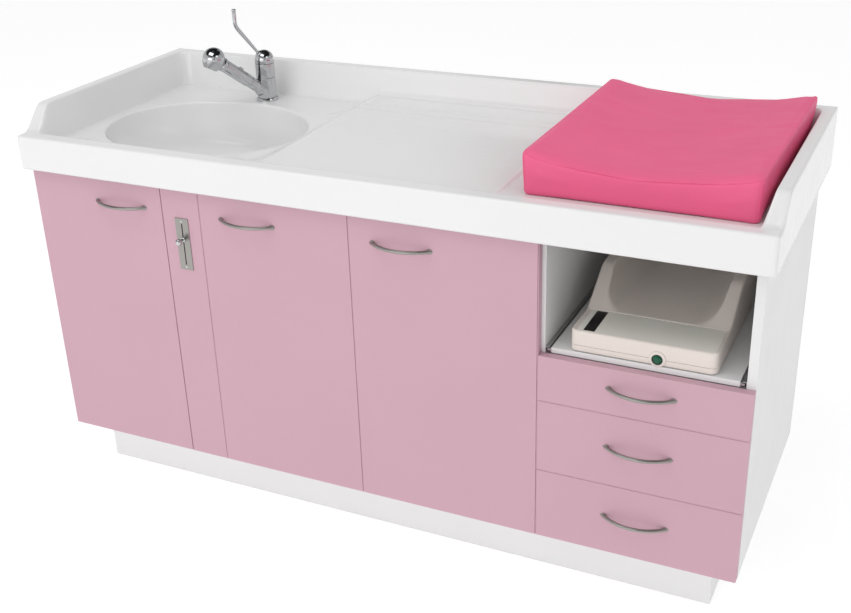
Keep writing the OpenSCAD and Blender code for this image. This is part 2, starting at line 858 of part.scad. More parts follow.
module drawer_box(z0, h) {
    x0 = niche_x0 + runner_t;
    x1 = niche_x1 - runner_t;
    y0 = front_setback + front_t;
    y1 = y0 + runner_l;
    z = box_z(z0);
    color(plastic_white) placed() difference() {
        box(x0, x1, y0, y1, z, z + h);
        box(x0 + drawer_side_t, x1 - drawer_side_t, y0 + drawer_side_t, y1 - drawer_side_t,
            z + 8, z + h + 1);
    }
}

module scale_tray() {
    color(white_board) placed()
        box(niche_x0 + runner_t, niche_x1 - runner_t, tray_y, tray_back_y, tray_low_z, tray_top_z);
}

module tray_runners() {
    color(zinc) placed() {
        runner_bar(niche_x0 + runner_t, 1, tray_low_z, tray_runner_h, panel_y + 2);
        runner_bar(niche_x1 - runner_t, -1, tray_low_z, tray_runner_h, panel_y + 2);
    }
}

// ---------------------------------------------------------------- baby scale

button_x = niche_mid + button_off;
button_hole_r = button_r + 0.4;

module scale_feet() {
    color([0.15, 0.15, 0.15]) placed()
        for (x = [scale_x0 + 30, scale_x0 + scale_w - 30], y = [scale_y + 30, scale_y + scale_l - 30])
            translate([x, y, tray_top_z]) cylinder(r = 10, h = foot_h);
}

module scale_base() {
    color(cream) placed() difference() {
        union() {
            round_board(scale_x0, scale_x0 + scale_w, scale_y, scale_y + scale_l,
                tray_top_z + foot_h, scale_seam_z, corner_r);
            intersection() {
                rod_y(button_x, scale_y - 3, scale_y + 6, scale_seam_z, button_r + 4);
                box(button_x - 30, button_x + 30, scale_y - 9, scale_y + 9,
                    tray_top_z + foot_h, scale_seam_z);
            }
        }
        rod_y(button_x, scale_y - 4, scale_y + 12, scale_seam_z, button_hole_r);
    }
}

module scale_cradle() {
    x1 = scale_x0 + scale_w;
    y1 = scale_y + scale_l;
    yc = scale_y + console_d;
    slope_run = (cradle_z - console_z) * 2;
    color(cream) placed() difference() {
        union() {
            round_board(scale_x0, x1, scale_y, y1, scale_seam_z, cradle_z, corner_r);
            intersection() {
                rod_y(button_x, scale_y - 3, scale_y + 6, scale_seam_z, button_r + 4);
                box(button_x - 30, button_x + 30, scale_y - 9, scale_y + 9,
                    scale_seam_z, scale_seam_z + 40);
            }
        }
        // Over the console, and the slope that rises from it to the cradle's sides
        translate([scale_x0 - 1, 0, 0]) rotate([90, 0, 90]) linear_extrude(scale_w + 2)
            polygon([
                [scale_y - 20, console_z - plate_thick], [yc, console_z - plate_thick],
                [yc, console_z], [yc + slope_run, cradle_z + 1],
                [scale_y - 20, cradle_z + 1]
            ]);
        // The trough that the baby lies in
        translate([niche_mid, y1 + 1, 0]) rotate([90, 0, 0]) linear_extrude(scale_l - console_d + 1)
            polygon(concat(
                [[-trough_half, cradle_z + 1]],
                [for (a = [180 : 10 : 270]) [
                    -(trough_half - trough_corner) + trough_corner * cos(a),
                    trough_z + trough_corner + trough_corner * sin(a)]],
                [for (a = [270 : 10 : 360]) [
                    trough_half - trough_corner + trough_corner * cos(a),
                    trough_z + trough_corner + trough_corner * sin(a)]],
                [[trough_half, cradle_z + 1]]
            ));
        box(scale_x0 + 6, x1 - 6, scale_y + 16, y1 - 6, scale_seam_z - 1, console_z - 8);
        rod_y(button_x, scale_y - 4, scale_y + 12, scale_seam_z, button_hole_r);
    }
}

display_x0 = scale_x0 + 17;
display_w = 23;
display_y0 = scale_y + 7;
display_d = 96;

module scale_console() {
    color([0.73, 0.71, 0.67]) placed() difference() {
        box(scale_x0 + 5, scale_x0 + scale_w - 5, scale_y + 4, scale_y + console_d,
            console_z - plate_thick, console_z);
        box(display_x0, display_x0 + display_w, display_y0, display_y0 + display_d,
            console_z - 4, console_z + 1);
    }
}

module scale_display() {
    color([0.05, 0.05, 0.05]) placed()
        box(display_x0, display_x0 + display_w, display_y0, display_y0 + display_d,
            console_z - plate_thick, console_z + 0.3);
}

module scale_button() {
    color([0.05, 0.45, 0.30]) placed()
        rod_y(button_x, scale_y - 5, scale_y + 5, scale_seam_z, button_r);
}

// ---------------------------------------------------------------- mat

// A block with a sloping top, less the shallow trough that a large cylinder cuts along it
module changing_mat() {
    tilt = atan(mat_back_rise / mat_d);
    trough_r = (pow(mat_w / 2, 2) + pow(mat_dip, 2)) / (2 * mat_dip);
    color(mat_pink) placed() difference() {
        translate([mat_x0, mat_y0, mat_z]) rotate([90, 0, 90]) linear_extrude(mat_w)
            polygon([[0, 0], [mat_d, 0], [mat_d, mat_h + mat_back_rise], [0, mat_h]]);
        translate([mat_x0 + mat_w / 2, mat_y0, mat_z + mat_h]) rotate([tilt, 0, 0])
            translate([0, -mat_d, trough_r - mat_dip]) rotate([-90, 0, 0])
                cylinder(r = trough_r, h = 3 * mat_d, $fn = 180);
    }
}

// ---------------------------------------------------------------- nodes

left_edge = side_x0;
slim_edge = slim_x0 - half_gap;
middle_x0 = middle_door_x0 + half_gap;
middle_x1 = right_door_x0 - half_gap;
right_x0 = right_door_x0 + half_gap;
right_x1 = drawer_x0 - half_gap;
door_handle_z = front_top_z - handle_drop;
drawer_mid_x = (drawer_x0 + drawer_x1) / 2;
bottom_handle_z = bottom_drawer_z + deep_drawer_h / 2 + handle_rise;
middle_handle_z = middle_drawer_z + deep_drawer_h / 2 + handle_rise;
top_handle_z = top_drawer_z + top_drawer_h / 2 + handle_rise;

worktop();
side_panel(side_x0);  // side_panel_left
side_panel(inner_x1);  // side_panel_right
divider(right_door_x0);  // divider_left
divider(drawer_x0);  // divider_right
bottom_panel();
back_panel();
niche_shelf();
top_rails();
plinth_front();
plinth_frame();
slot_panel();
slot_plate();
slot_plate_screws();
cupboard_shelf();
shelf_pins();
hinge_plates();
cabinet_runners();
basin_waste();
waste_trap();
water_valves();
water_tails();
hinged_door(left_edge, slim_edge, 1);  // door_left
bow_handle(slim_edge - handle_edge + 8, door_handle_z);  // door_left_handle
door_hinges(left_edge, inner_x0, 1);  // door_left_hinges
hinged_door(middle_x0, middle_x1, -1);  // door_middle
bow_handle(middle_x0 + handle_edge, door_handle_z);  // door_middle_handle
door_hinges(middle_x1, right_door_x0 - board_t / 2, -1);  // door_middle_hinges
hinged_door(right_x0, right_x1, -1);  // door_right
bow_handle(right_x0 + handle_edge, door_handle_z);  // door_right_handle
door_hinges(right_x1, drawer_x0 - board_t / 2, -1);  // door_right_hinges
front_panel(drawer_x0, drawer_x1 + half_gap, top_drawer_z + half_gap, drawers_top_z);  // drawer_top_front
bow_handle(drawer_mid_x, top_handle_z);  // drawer_top_handle
drawer_box(top_drawer_z, top_box_h);  // drawer_top_box
drawer_runners(top_drawer_z);  // drawer_top_runners
front_panel(drawer_x0, drawer_x1 + half_gap, middle_drawer_z + half_gap, top_drawer_z - half_gap);  // drawer_middle_front
bow_handle(drawer_mid_x, middle_handle_z);  // drawer_middle_handle
drawer_box(middle_drawer_z, deep_box_h);  // drawer_middle_box
drawer_runners(middle_drawer_z);  // drawer_middle_runners
front_panel(drawer_x0, drawer_x1 + half_gap, bottom_drawer_z, middle_drawer_z - half_gap);  // drawer_bottom_front
bow_handle(drawer_mid_x, bottom_handle_z);  // drawer_bottom_handle
drawer_box(bottom_drawer_z, deep_box_h);  // drawer_bottom_box
drawer_runners(bottom_drawer_z);  // drawer_bottom_runners
scale_tray();
tray_runners();
scale_base();
scale_cradle();
scale_console();
scale_display();
scale_button();
scale_feet();
drain_knob();
drain_plug();
mixer_body();
mixer_spout();
spray_handle();
spray_face();
mixer_cap();
mixer_lever();
changing_mat();
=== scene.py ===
"""Looks of a baby changing unit with a bath basin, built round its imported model.

Sizes inside the classes are millimetres, measured from the worktop's left end, its front
face and the floor. A Datum turns them into the row frame, in metres.
"""

import sys

import json
import logging
import math
from collections.abc import Callable, Iterable, Sequence
from dataclasses import dataclass, field
from enum import Enum

import bmesh
import bpy
from mathutils import Matrix, Vector
from mathutils.bvhtree import BVHTree

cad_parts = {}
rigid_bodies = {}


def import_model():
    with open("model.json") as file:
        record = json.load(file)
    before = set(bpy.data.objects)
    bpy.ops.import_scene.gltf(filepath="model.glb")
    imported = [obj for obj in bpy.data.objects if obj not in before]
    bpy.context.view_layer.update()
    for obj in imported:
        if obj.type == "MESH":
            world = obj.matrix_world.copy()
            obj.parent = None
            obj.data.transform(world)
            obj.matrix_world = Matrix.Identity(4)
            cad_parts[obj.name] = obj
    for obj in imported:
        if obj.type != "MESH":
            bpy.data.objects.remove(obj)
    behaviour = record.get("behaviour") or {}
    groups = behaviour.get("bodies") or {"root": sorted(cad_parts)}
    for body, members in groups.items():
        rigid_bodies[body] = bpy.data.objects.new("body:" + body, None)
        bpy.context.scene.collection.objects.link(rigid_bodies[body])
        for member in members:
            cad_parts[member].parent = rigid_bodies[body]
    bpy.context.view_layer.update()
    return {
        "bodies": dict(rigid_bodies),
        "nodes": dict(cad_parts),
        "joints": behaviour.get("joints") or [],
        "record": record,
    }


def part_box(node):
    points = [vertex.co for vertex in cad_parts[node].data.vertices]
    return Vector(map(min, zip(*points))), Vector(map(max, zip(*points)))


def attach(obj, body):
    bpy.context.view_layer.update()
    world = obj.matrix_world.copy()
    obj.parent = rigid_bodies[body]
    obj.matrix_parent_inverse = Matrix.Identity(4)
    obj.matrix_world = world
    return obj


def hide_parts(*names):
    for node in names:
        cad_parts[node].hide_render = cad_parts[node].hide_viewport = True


LOG = logging.getLogger("changing_unit")
MM = 0.001
Rgb = tuple[float, float, float]
Point2 = tuple[float, float]
Point3 = tuple[float, float, float]
Placer = Callable[[float, Vector], Point3]


def soft_min(a: float, b: float, reach: float) -> float:
    """The lower of two heights, with the corner between them rounded.

    Args:
        a: First height.
        b: Second height.
        reach: Difference in height over which the corner is rounded.

    Returns:
        The blended height.
    """
    share = max(reach - abs(a - b), 0.0) / reach
    return min(a, b) - share * share * reach / 4


def soft_max(a: float, b: float, reach: float) -> float:
    """The higher of two heights, with the corner between them rounded."""
    return -soft_min(-a, -b, reach)


@dataclass(frozen=True)
class Datum:
    """Where the worktop's left end and front face lie in the row frame, in metres."""

    left: float
    front: float

    @classmethod
    def of_worktop(cls) -> "Datum":
        """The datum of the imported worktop."""
        low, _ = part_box("worktop")
        return cls(low.x, low.y)

    def matrix(self) -> Matrix:
        """From millimetres at the datum to metres in the row frame."""
        return Matrix.Translation((self.left, self.front, 0)) @ Matrix.Diagonal((MM, MM, MM, 1))

    def at(self, x: float, y: float, z: float) -> Vector:
        """A point in the row frame, in metres."""
        return self.matrix() @ Vector((x, y, z))


# ------------------------------------------------------------------ finishes


class Grain(Enum):
    """The fine relief of a surface."""

    GELCOAT = "gelcoat ripple"
    PEARL = "pearl press"
    BRUSHED = "brushing"
    LEATHER = "leather grain"
    SPARK = "spark texture"


class NodeDesk:
    """A node tree with short calls to add and join its nodes."""

    def __init__(self, tree: bpy.types.NodeTree) -> None:
        """Takes an empty tree."""
        self.tree = tree

    def add(self, kind: str, inputs: dict | None = None, **settings: object) -> bpy.types.Node:
        """Adds one node.

        Args:
            kind: The node's type.
            inputs: Values or sockets, by the input's name or number.
            settings: Attributes of the node.

        Returns:
            The node.
        """
        node = self.tree.nodes.new(kind)
        for name, value in settings.items():
            setattr(node, name, value)
        for name, value in (inputs or {}).items():
            if isinstance(value, bpy.types.NodeSocket):
                self.tree.links.new(value, node.inputs[name])
            else:
                node.inputs[name].default_value = value
        return node

    def math(self, operation: str, *values: object) -> bpy.types.NodeSocket:
        """Adds a Math node and gives its result."""
        return self.add(
            "ShaderNodeMath", dict(enumerate(values)), operation=operation
        ).outputs[0]

    def spread(
        self, value: bpy.types.NodeSocket, low: object, high: object
    ) -> bpy.types.NodeSocket:
        """Maps a noise, which keeps to the middle of its range, to low and high."""
        return self.add(
            "ShaderNodeMapRange",
            {"Value": value, "From Min": 0.3, "From Max": 0.7, "To Min": low, "To Max": high},
        ).outputs["Result"]

    def ramp(
        self, value: bpy.types.NodeSocket, stops: Sequence[Point2]
    ) -> bpy.types.NodeSocket:
        """Maps a value from 0 to 1 to greys, by stops of place and grey.

        Args:
            value: What is mapped.
            stops: The two stops to start with, then the ones to add.

        Returns:
            The colour.
        """
        node = self.add("ShaderNodeValToRGB", {"Fac": value})
        elements = node.color_ramp.elements
        for element, (place, grey) in zip(elements, stops[:2]):
            element.position, element.color = place, (grey, grey, grey, 1)
        for place, grey in stops[2:]:
            elements.new(place).color = (grey, grey, grey, 1)
        return node.outputs["Color"]


class GroupShelf:
    """The node groups that the finishes share, each built once."""

    def __init__(self) -> None:
        """Starts with no group made."""
        self.made: dict[str, bpy.types.NodeTree] = {}

    def new(
        self, name: str, inputs: Sequence[tuple[str, str]], output: tuple[str, str]
    ) -> tuple[NodeDesk, bpy.types.Node, bpy.types.Node]:
        """Starts a group with its named sockets.

        Args:
            name: The group's name.
            inputs: Name and socket type of each input.
            output: Name and socket type of the one output.

        Returns:
            The desk to build on, the input node and the output node.
        """
        tree = bpy.data.node_groups.new(name, "ShaderNodeTree")
        for label, kind in inputs:
            tree.interface.new_socket(label, in_out="INPUT", socket_type=kind)
        tree.interface.new_socket(output[0], in_out="OUTPUT", socket_type=output[1])
        self.made[name] = tree
        desk = NodeDesk(tree)
        return desk, desk.add("NodeGroupInput"), desk.add("NodeGroupOutput")

    def drift(self) -> bpy.types.NodeTree:
        """A colour that drifts a little in cloudy patches and fine flecks."""
        name = "colour drift"
        if name in self.made:
            return self.made[name]
        desk, given, result = self.new(
            name,
            [("Vector", "NodeSocketVector"), ("Colour", "NodeSocketColor"),
             ("Spread", "NodeSocketFloat"), ("Scale", "NodeSocketFloat")],
            ("Colour", "NodeSocketColor"),
        )
        clouds = desk.add("ShaderNodeTexNoise", {
            "Vector": given.outputs["Vector"], "Scale": given.outputs["Scale"], "Detail": 3.0,
        })
        fine = desk.math("MULTIPLY", given.outputs["Scale"], 90.0)
        flecks = desk.add("ShaderNodeTexNoise", {
            "Vector": given.outputs["Vector"], "Scale": fine, "Detail": 2.0,
        })
        both = desk.math("MULTIPLY_ADD", clouds.outputs["Fac"], 0.65, desk.math(
            "MULTIPLY", flecks.outputs["Fac"], 0.35))
        low = desk.math("SUBTRACT", 1.0, given.outputs["Spread"])
        high = desk.math("ADD", 1.0, given.outputs["Spread"])
        tinted = desk.add("ShaderNodeVectorMath", {
            0: given.outputs["Colour"], "Scale": desk.spread(both, low, high),
        }, operation="SCALE")
        desk.tree.links.new(tinted.outputs[0], result.inputs["Colour"])
        return desk.tree

    def wiped(self) -> bpy.types.NodeTree:
        """Roughness that varies as a surface does that is wiped by hand."""
        name = "wiped gloss"
        if name in self.made:
            return self.made[name]
        desk, given, result = self.new(
            name,
            [("Vector", "NodeSocketVector"), ("Low", "NodeSocketFloat"),
             ("High", "NodeSocketFloat"), ("Scale", "NodeSocketFloat")],
            ("Roughness", "NodeSocketFloat"),
        )
        stretched = desk.add("ShaderNodeMapping", {
            "Vector": given.outputs["Vector"], "Rotation": (0.3, 0.2, 0.5), "Scale": (1, 2.4, 1.6),
        })
        noise = desk.add("ShaderNodeTexNoise", {
            "Vector": stretched.outputs[0], "Scale": given.outputs["Scale"], "Detail": 4.0,
            "Distortion": 0.6,
        })
        mapped = desk.spread(
            noise.outputs["Fac"], given.outputs["Low"], given.outputs["High"])
        desk.tree.links.new(mapped, result.inputs["Roughness"])
        return desk.tree

    def relief(self, grain: Grain) -> bpy.types.NodeTree:
        """The height pattern of one grain.

        Args:
            grain: Which grain.

        Returns:
            A group from Vector and Scale to Height.
        """
        if grain.value in self.made:
            return self.made[grain.value]
        desk, given, result = self.new(
            grain.value,
            [("Vector", "NodeSocketVector"), ("Scale", "NodeSocketFloat")],
            ("Height", "NodeSocketFloat"),
        )
        vector, scale = given.outputs["Vector"], given.outputs["Scale"]
        if grain is Grain.BRUSHED:
            vector = desk.add("ShaderNodeMapping", {
                "Vector": vector, "Scale": (0.03, 1.0, 1.0)}).outputs[0]
        if grain is Grain.LEATHER:
            cells = desk.add("ShaderNodeTexVoronoi", {"Vector": vector, "Scale": scale},
                             feature="SMOOTH_F1")
            folds = desk.add("ShaderNodeTexNoise", {
                "Vector": vector, "Scale": desk.math("MULTIPLY", scale, 0.12), "Detail": 3.0})
            height = desk.math("MULTIPLY_ADD", cells.outputs["Distance"], -0.7,
                               folds.outputs["Fac"])
        else:
            detail = {Grain.GELCOAT: 1.0, Grain.PEARL: 4.0, Grain.SPARK: 2.0, Grain.BRUSHED: 5.0}
            height = desk.add("ShaderNodeTexNoise", {
                "Vector": vector, "Scale": scale, "Detail": detail[grain]}).outputs["Fac"]
        desk.tree.links.new(height, result.inputs["Height"])
        return desk.tree


@dataclass(frozen=True)
class Finish:
    """A surface finish: its colour, gloss and relief."""

    name: str
    colour: Rgb
    rough: Point2
    grain: Grain
    grain_scale: float
    grain_depth: float
    spread: float = 0.03
    drift_scale: float = 4.0
    rough_scale: float = 9.0
    metallic: float = 0.0
    coat: float = 0.0
    sheen: float = 0.0
    anisotropy: float = 0.0
    specular: float = 0.5

    def material(self, shelf: GroupShelf) -> bpy.types.Material:
        """Builds the finish.

        Args:
            shelf: Where the shared groups are kept.

        Returns:
            The material.
        """
        made = bpy.data.materials.new(self.name)
        made.use_nodes = True
        made.node_tree.nodes.clear()
        desk = NodeDesk(made.node_tree)
        vector = desk.add("ShaderNodeTexCoord").outputs["Object"]
        colour = desk.add("ShaderNodeGroup", node_tree=shelf.drift())
        gloss = desk.add("ShaderNodeGroup", node_tree=shelf.wiped())
        relief = desk.add("ShaderNodeGroup", node_tree=shelf.relief(self.grain))
        for group in (colour, gloss, relief):
            desk.tree.links.new(vector, group.inputs["Vector"])
        colour.inputs["Colour"].default_value = (*self.colour, 1)
        colour.inputs["Spread"].default_value = self.spread
        colour.inputs["Scale"].default_value = self.drift_scale
        gloss.inputs["Low"].default_value, gloss.inputs["High"].default_value = self.rough
        gloss.inputs["Scale"].default_value = self.rough_scale
        relief.inputs["Scale"].default_value = self.grain_scale
        bump = desk.add("ShaderNodeBump", {
            "Height": relief.outputs["Height"], "Distance": self.grain_depth, "Strength": 0.6,
        })
        shader = desk.add("ShaderNodeBsdfPrincipled", {
            "Base Color": colour.outputs["Colour"],
            "Roughness": gloss.outputs["Roughness"],
            "Metallic": self.metallic,
            "Coat Weight": self.coat,
            "Coat Roughness": 0.08,
            "Sheen Weight": self.sheen,
            "Anisotropic": self.anisotropy,
            "Specular IOR Level": self.specular,
            "Normal": bump.outputs["Normal"],
        })
        desk.add("ShaderNodeOutputMaterial", {"Surface": shader.outputs[0]})
        return made


FINISHES = {
    "moulded_worktop": Finish("white_gelcoat", (0.79, 0.79, 0.79), (0.16, 0.27), Grain.GELCOAT,
                              60, 0.0004, spread=0.012, coat=0.2),
    "white_board": Finish("white_laminate", (0.78, 0.78, 0.78), (0.36, 0.48), Grain.PEARL,
                          900, 0.0002, spread=0.015),
    "pink_laminate": Finish("pink_laminate", (0.575, 0.357, 0.425), (0.42, 0.54), Grain.PEARL,
                            900, 0.0002, spread=0.02, specular=0.35),
    "brushed_steel": Finish("satin_steel", (0.34, 0.33, 0.31), (0.26, 0.38), Grain.BRUSHED,
                            900, 0.0002, metallic=1.0, anisotropy=0.35),
    "chrome": Finish("bright_chrome", (0.56, 0.565, 0.58), (0.03, 0.07), Grain.GELCOAT,
                     150, 0.00004, spread=0.01, metallic=1.0),
    "zinc": Finish("zinc_plate", (0.50, 0.51, 0.52), (0.3, 0.45), Grain.SPARK,
                   700, 0.0001, spread=0.06, metallic=1.0),
    "white_plastic": Finish("white_moulding", (0.74, 0.74, 0.73), (0.32, 0.42), Grain.SPARK,
                            1400, 0.0002),
    "copper": Finish("copper_tube", (0.60, 0.28, 0.16), (0.22, 0.4), Grain.BRUSHED,
                     500, 0.0001, spread=0.08, metallic=1.0),
    "cream_plastic": Finish("cream_moulding", (0.76, 0.69, 0.64), (0.34, 0.46), Grain.SPARK,
                            1200, 0.0003, spread=0.02),
    "grey_film": Finish("grey_film", (0.84, 0.82, 0.75), (0.30, 0.40), Grain.SPARK,
                        1500, 0.0001, spread=0.03),
    "display_window": Finish("dark_window", (0.006, 0.004, 0.004), (0.12, 0.2), Grain.GELCOAT,
                             90, 0.0001, coat=0.2, specular=0.2),
    "green_button": Finish("green_button", (0.002, 0.085, 0.040), (0.10, 0.18), Grain.GELCOAT,
                           200, 0.0001, coat=0.25, specular=0.25),
    "rubber": Finish("black_rubber", (0.02, 0.02, 0.02), (0.6, 0.75), Grain.SPARK,
                     900, 0.0003),
    "pink_vinyl": Finish("pink_vinyl", (0.86, 0.138, 0.288), (0.40, 0.52), Grain.LEATHER,
                         900, 0.0005, spread=0.03, drift_scale=7.0, specular=0.22),
}


class Workshop:
    """Turns meshes into pieces: finish, slot, body and the nodes that they stand for."""

    def __init__(self, frame: dict) -> None:
        """Takes the loaded frame and makes every finish once.
        """
        shelf = GroupShelf()
        self.frame = frame
        self.datum = Datum.of_worktop()
        self.materials = {slot: made.material(shelf) for slot, made in FINISHES.items()}
        self.slots = {part["node"]: part["material_slot"] for part in frame["record"]["subparts"]}

    def piece(
        self, name: str, bm: bmesh.types.BMesh, slot: str, body: str,
        nodes: Iterable[str] = (), smooth_deg: float = 40.0, in_metres: bool = False,
    ) -> bpy.types.Object:
        """Makes one shown piece from a bmesh, and frees the bmesh.

        Args:
            name: The piece's name.
            bm: Its mesh, in millimetres at the datum.
            slot: The record's material slot.
            body: The body that it rides on.
            nodes: The CAD nodes that it stands for.
            smooth_deg: Edges that turn more than this stay sharp.
            in_metres: Whether the mesh is already in the row frame.

        Returns:
            The object.
        """
        if not in_metres:
            bm.transform(self.datum.matrix())
        mesh = bpy.data.meshes.new(name)
        bm.to_mesh(mesh)
        bm.free()
        mesh.shade_smooth()
        mesh.set_sharp_from_angle(angle=math.radians(smooth_deg))
        mesh.materials.append(self.materials[slot])
        made = bpy.data.objects.new(name, mesh)
        bpy.context.scene.collection.objects.link(made)
        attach(made, body)
        if nodes:
            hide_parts(*nodes)
        LOG.info("%s: %d faces, rides on %s", name, len(mesh.polygons), body)
        return made

    def dress(self, node: str, edge: float = 0.0, segments: int = 2) -> None:
        """Gives a CAD node its finish, and breaks its sharp edges.

        Args:
            node: The node's name.
            edge: Width of the broken edge in millimetres, or 0 to leave it.
            segments: Steps across the edge.
        """
        made = self.frame["nodes"][node]
        for holder in made.material_slots:
            holder.material = self.materials[self.slots[node]]
        if edge > 0:
            weld = made.modifiers.new("weld", "WELD")
            weld.merge_threshold = 0.00001
            bevel = made.modifiers.new("broken_edge", "BEVEL")
            bevel.width = edge * MM
            bevel.segments = segments
            bevel.limit_method = "ANGLE"
            bevel.angle_limit = math.radians(35)
            bevel.harden_normals = False


# ------------------------------------------------------------------ mesh helpers


def rounded_path(points: Sequence[Point3], steps: int = 5) -> list[Point2]:
    """A profile whose corners are rounded.

    Args:
        points: Each corner's two coordinates and its radius.
        steps: Points along each arc, less one.

    Returns:
        The profile's points.
    """
    path: list[Point2] = []
    for i, (x, y, radius) in enumerate(points):
        here = Vector((x, y))
        if radius <= 0 or i in (0, len(points) - 1):
            path.append((x, y))
            continue
        back = Vector(points[i - 1][:2]) - here
        on = Vector(points[i + 1][:2]) - here
        half = back.angle(on) / 2
        cut = min(radius / math.tan(half), back.length * 0.49, on.length * 0.49)
        start, end = here + back.normalized() * cut, here + on.normalized() * cut
        for k in range(steps + 1):
            t = k / steps
            point = start * (1 - t) ** 2 + here * 2 * t * (1 - t) + end * t ** 2
            path.append((point.x, point.y))
    return path


def turned(
    profile: Sequence[Point2], place: Matrix, steps: int = 48, bm: bmesh.types.BMesh | None = None
) -> bmesh.types.BMesh:
    """Turns a profile of radius and height round an axis, as on a lathe.

    Args:
        profile: Radius and height of each point.
        place: Takes the lathe's Z axis to where the part stands.
        steps: Sides of the turned part.
        bm: A mesh to add it to, or None for a new one.

    Returns:
        The mesh.
    """
    part = bmesh.new()
    verts = [part.verts.new((r, 0, z)) for r, z in profile]
    edges = [part.edges.new(pair) for pair in zip(verts, verts[1:])]
    bmesh.ops.spin(part, geom=verts + edges, cent=(0, 0, 0), axis=(0, 0, 1),
                   angle=2 * math.pi, steps=steps, use_merge=True)
    bmesh.ops.remove_doubles(part, verts=part.verts, dist=0.0005)
    bmesh.ops.recalc_face_normals(part, faces=part.faces)
    part.transform(place)
    return joined(part, bm)


def joined(part: bmesh.types.BMesh, bm: bmesh.types.BMesh | None) -> bmesh.types.BMesh:
    """Adds a part to a mesh and frees the part, or gives the part back if there is none."""
    if bm is None:
        return part
    mesh = bpy.data.meshes.new("part")
    part.to_mesh(mesh)
    part.free()
    bm.from_mesh(mesh)
    bpy.data.meshes.remove(mesh)
    return bm


def block(
    size: Sequence[float], place: Matrix, edge: float, segments: int,
    bm: bmesh.types.BMesh | None = None,
) -> bmesh.types.BMesh:
    """A block with all its edges rounded.

    Args:
        size: Its three sizes.
        place: Where its middle stands.
        edge: Width of the rounded edges.
        segments: Steps across them.
        bm: A mesh to add it to, or None for a new one.

    Returns:
        The mesh.
    """
    part = bmesh.new()
    bmesh.ops.create_cube(part, size=1)
    bmesh.ops.scale(part, vec=size, verts=part.verts)
    bmesh.ops.bevel(part, geom=part.edges[:], offset=edge, segments=segments, affect="EDGES",
                    profile=0.5, material=-1)
    part.transform(place)
    return joined(part, bm)


def grown_rim(
    bm: bmesh.types.BMesh, rim: Sequence[bmesh.types.BMEdge]
) -> tuple[list[bmesh.types.BMEdge], list[bmesh.types.BMVert]]:
    """Extrudes an open rim in place, and gives the new rim's edges and points."""
    grown = bmesh.ops.extrude_edge_only(bm, edges=rim)["geom"]
    return ([g for g in grown if isinstance(g, bmesh.types.BMEdge)],
            [g for g in grown if isinstance(g, bmesh.types.BMVert)])


def face_up(bm: bmesh.types.BMesh) -> None:
    """Turns an open shell's faces so that most of them look up."""
    bmesh.ops.recalc_face_normals(bm, faces=bm.faces)
    if sum(f.normal.z for f in bm.faces) < 0:
        bmesh.ops.reverse_faces(bm, faces=bm.faces)


def aimed(origin: Vector, direction: Vector) -> Matrix:
    """A matrix that takes +Z at the origin to a direction at a point."""
    turn = Vector((0, 0, 1)).rotation_difference(direction).to_matrix().to_4x4()
    return Matrix.Translation(origin) @ turn


def tube(
    points: Sequence[Vector], radii: Sequence[float], bm: bmesh.types.BMesh | None = None,
    sides: int = 6, closed: bool = False,
) -> bmesh.types.BMesh:
    """A round rod along a line, with a radius at each point.

    Args:
        points: The line's points.
        radii: Radius at each point.
        bm: A mesh to add it to, or None for a new one.
        sides: A quarter of the rod's sides, less one.
        closed: Whether the line is a loop.

    Returns:
        The mesh.
    """
    curve = bpy.data.curves.new("line", "CURVE")
    curve.dimensions = "3D"
    curve.bevel_depth = 1.0
    curve.bevel_resolution = sides
    curve.use_fill_caps = not closed
    spline = curve.splines.new("POLY")
    spline.points.add(len(points) - 1)
    spline.use_cyclic_u = closed
    for item, point, radius in zip(spline.points, points, radii):
        item.co, item.radius = (*point, 1), radius
    holder = bpy.data.objects.new("line", curve)
    mesh = bpy.data.meshes.new_from_object(holder)
    part = bmesh.new()
    part.from_mesh(mesh)
    bmesh.ops.remove_doubles(part, verts=part.verts, dist=0.0005)
    bmesh.ops.recalc_face_normals(part, faces=part.faces)
    bpy.data.objects.remove(holder)
    bpy.data.curves.remove(curve)
    bpy.data.meshes.remove(mesh)
    return joined(part, bm)


def filled_lines(features: Iterable[float], step: float) -> list[float]:
    """Grid lines at every feature, with the gaps between them filled evenly.

    Args:
        features: Places that must have a line.
        step: The widest gap left between two lines.

    Returns:
        The lines in order.
    """
    marks = sorted(set(round(f, 3) for f in features))
    lines = [marks[0]]
    for mark in marks[1:]:
        gap = mark - lines[-1]
        if gap < 0.15:
            continue
        count = max(1, math.ceil(gap / step))
        lines += [lines[-1] + gap * (k + 1) / count for k in range(count)]
    return lines


def height_grid(
    xs: Sequence[float], ys: Sequence[float], level: Callable[[float, float], float]
) -> bmesh.types.BMesh:
    """A grid on given lines, raised to a height at each crossing."""
    bm = bmesh.new()
    bmesh.ops.create_grid(bm, x_segments=len(xs) - 1, y_segments=len(ys) - 1, size=0.5)
    for vert in bm.verts:
        i = round((vert.co.x + 0.5) * (len(xs) - 1))
        j = round((vert.co.y + 0.5) * (len(ys) - 1))
        vert.co = (xs[i], ys[j], level(xs[i], ys[j]))
    return bm


def round_corner(x: float, y: float, width: float, depth: float, r: float) -> Point2:
    """Moves a point near a board's corner so that the corner is round in plan.

    Args:
        x: Distance from the board's left.
        y: Distance from its front.
        width: The board's width.
        depth: Its depth.
        r: The corner's radius.

    Returns:
        The moved point.
    """
    cx, cy = min(max(x, r), width - r), min(max(y, r), depth - r)
    u, v = x - cx, y - cy
    if u == 0 or v == 0:
        return x, y
    m, size = max(abs(u), abs(v)), math.hypot(u, v)
    return cx + u * m / size, cy + v * m / size


def edge_drop(distance: float, radius: float) -> float:
    """How far a rounded edge has dropped at a distance from the outside."""
    if distance >= radius:
        return 0.0
    return radius - math.sqrt(max(radius ** 2 - (radius - distance) ** 2, 0.0))


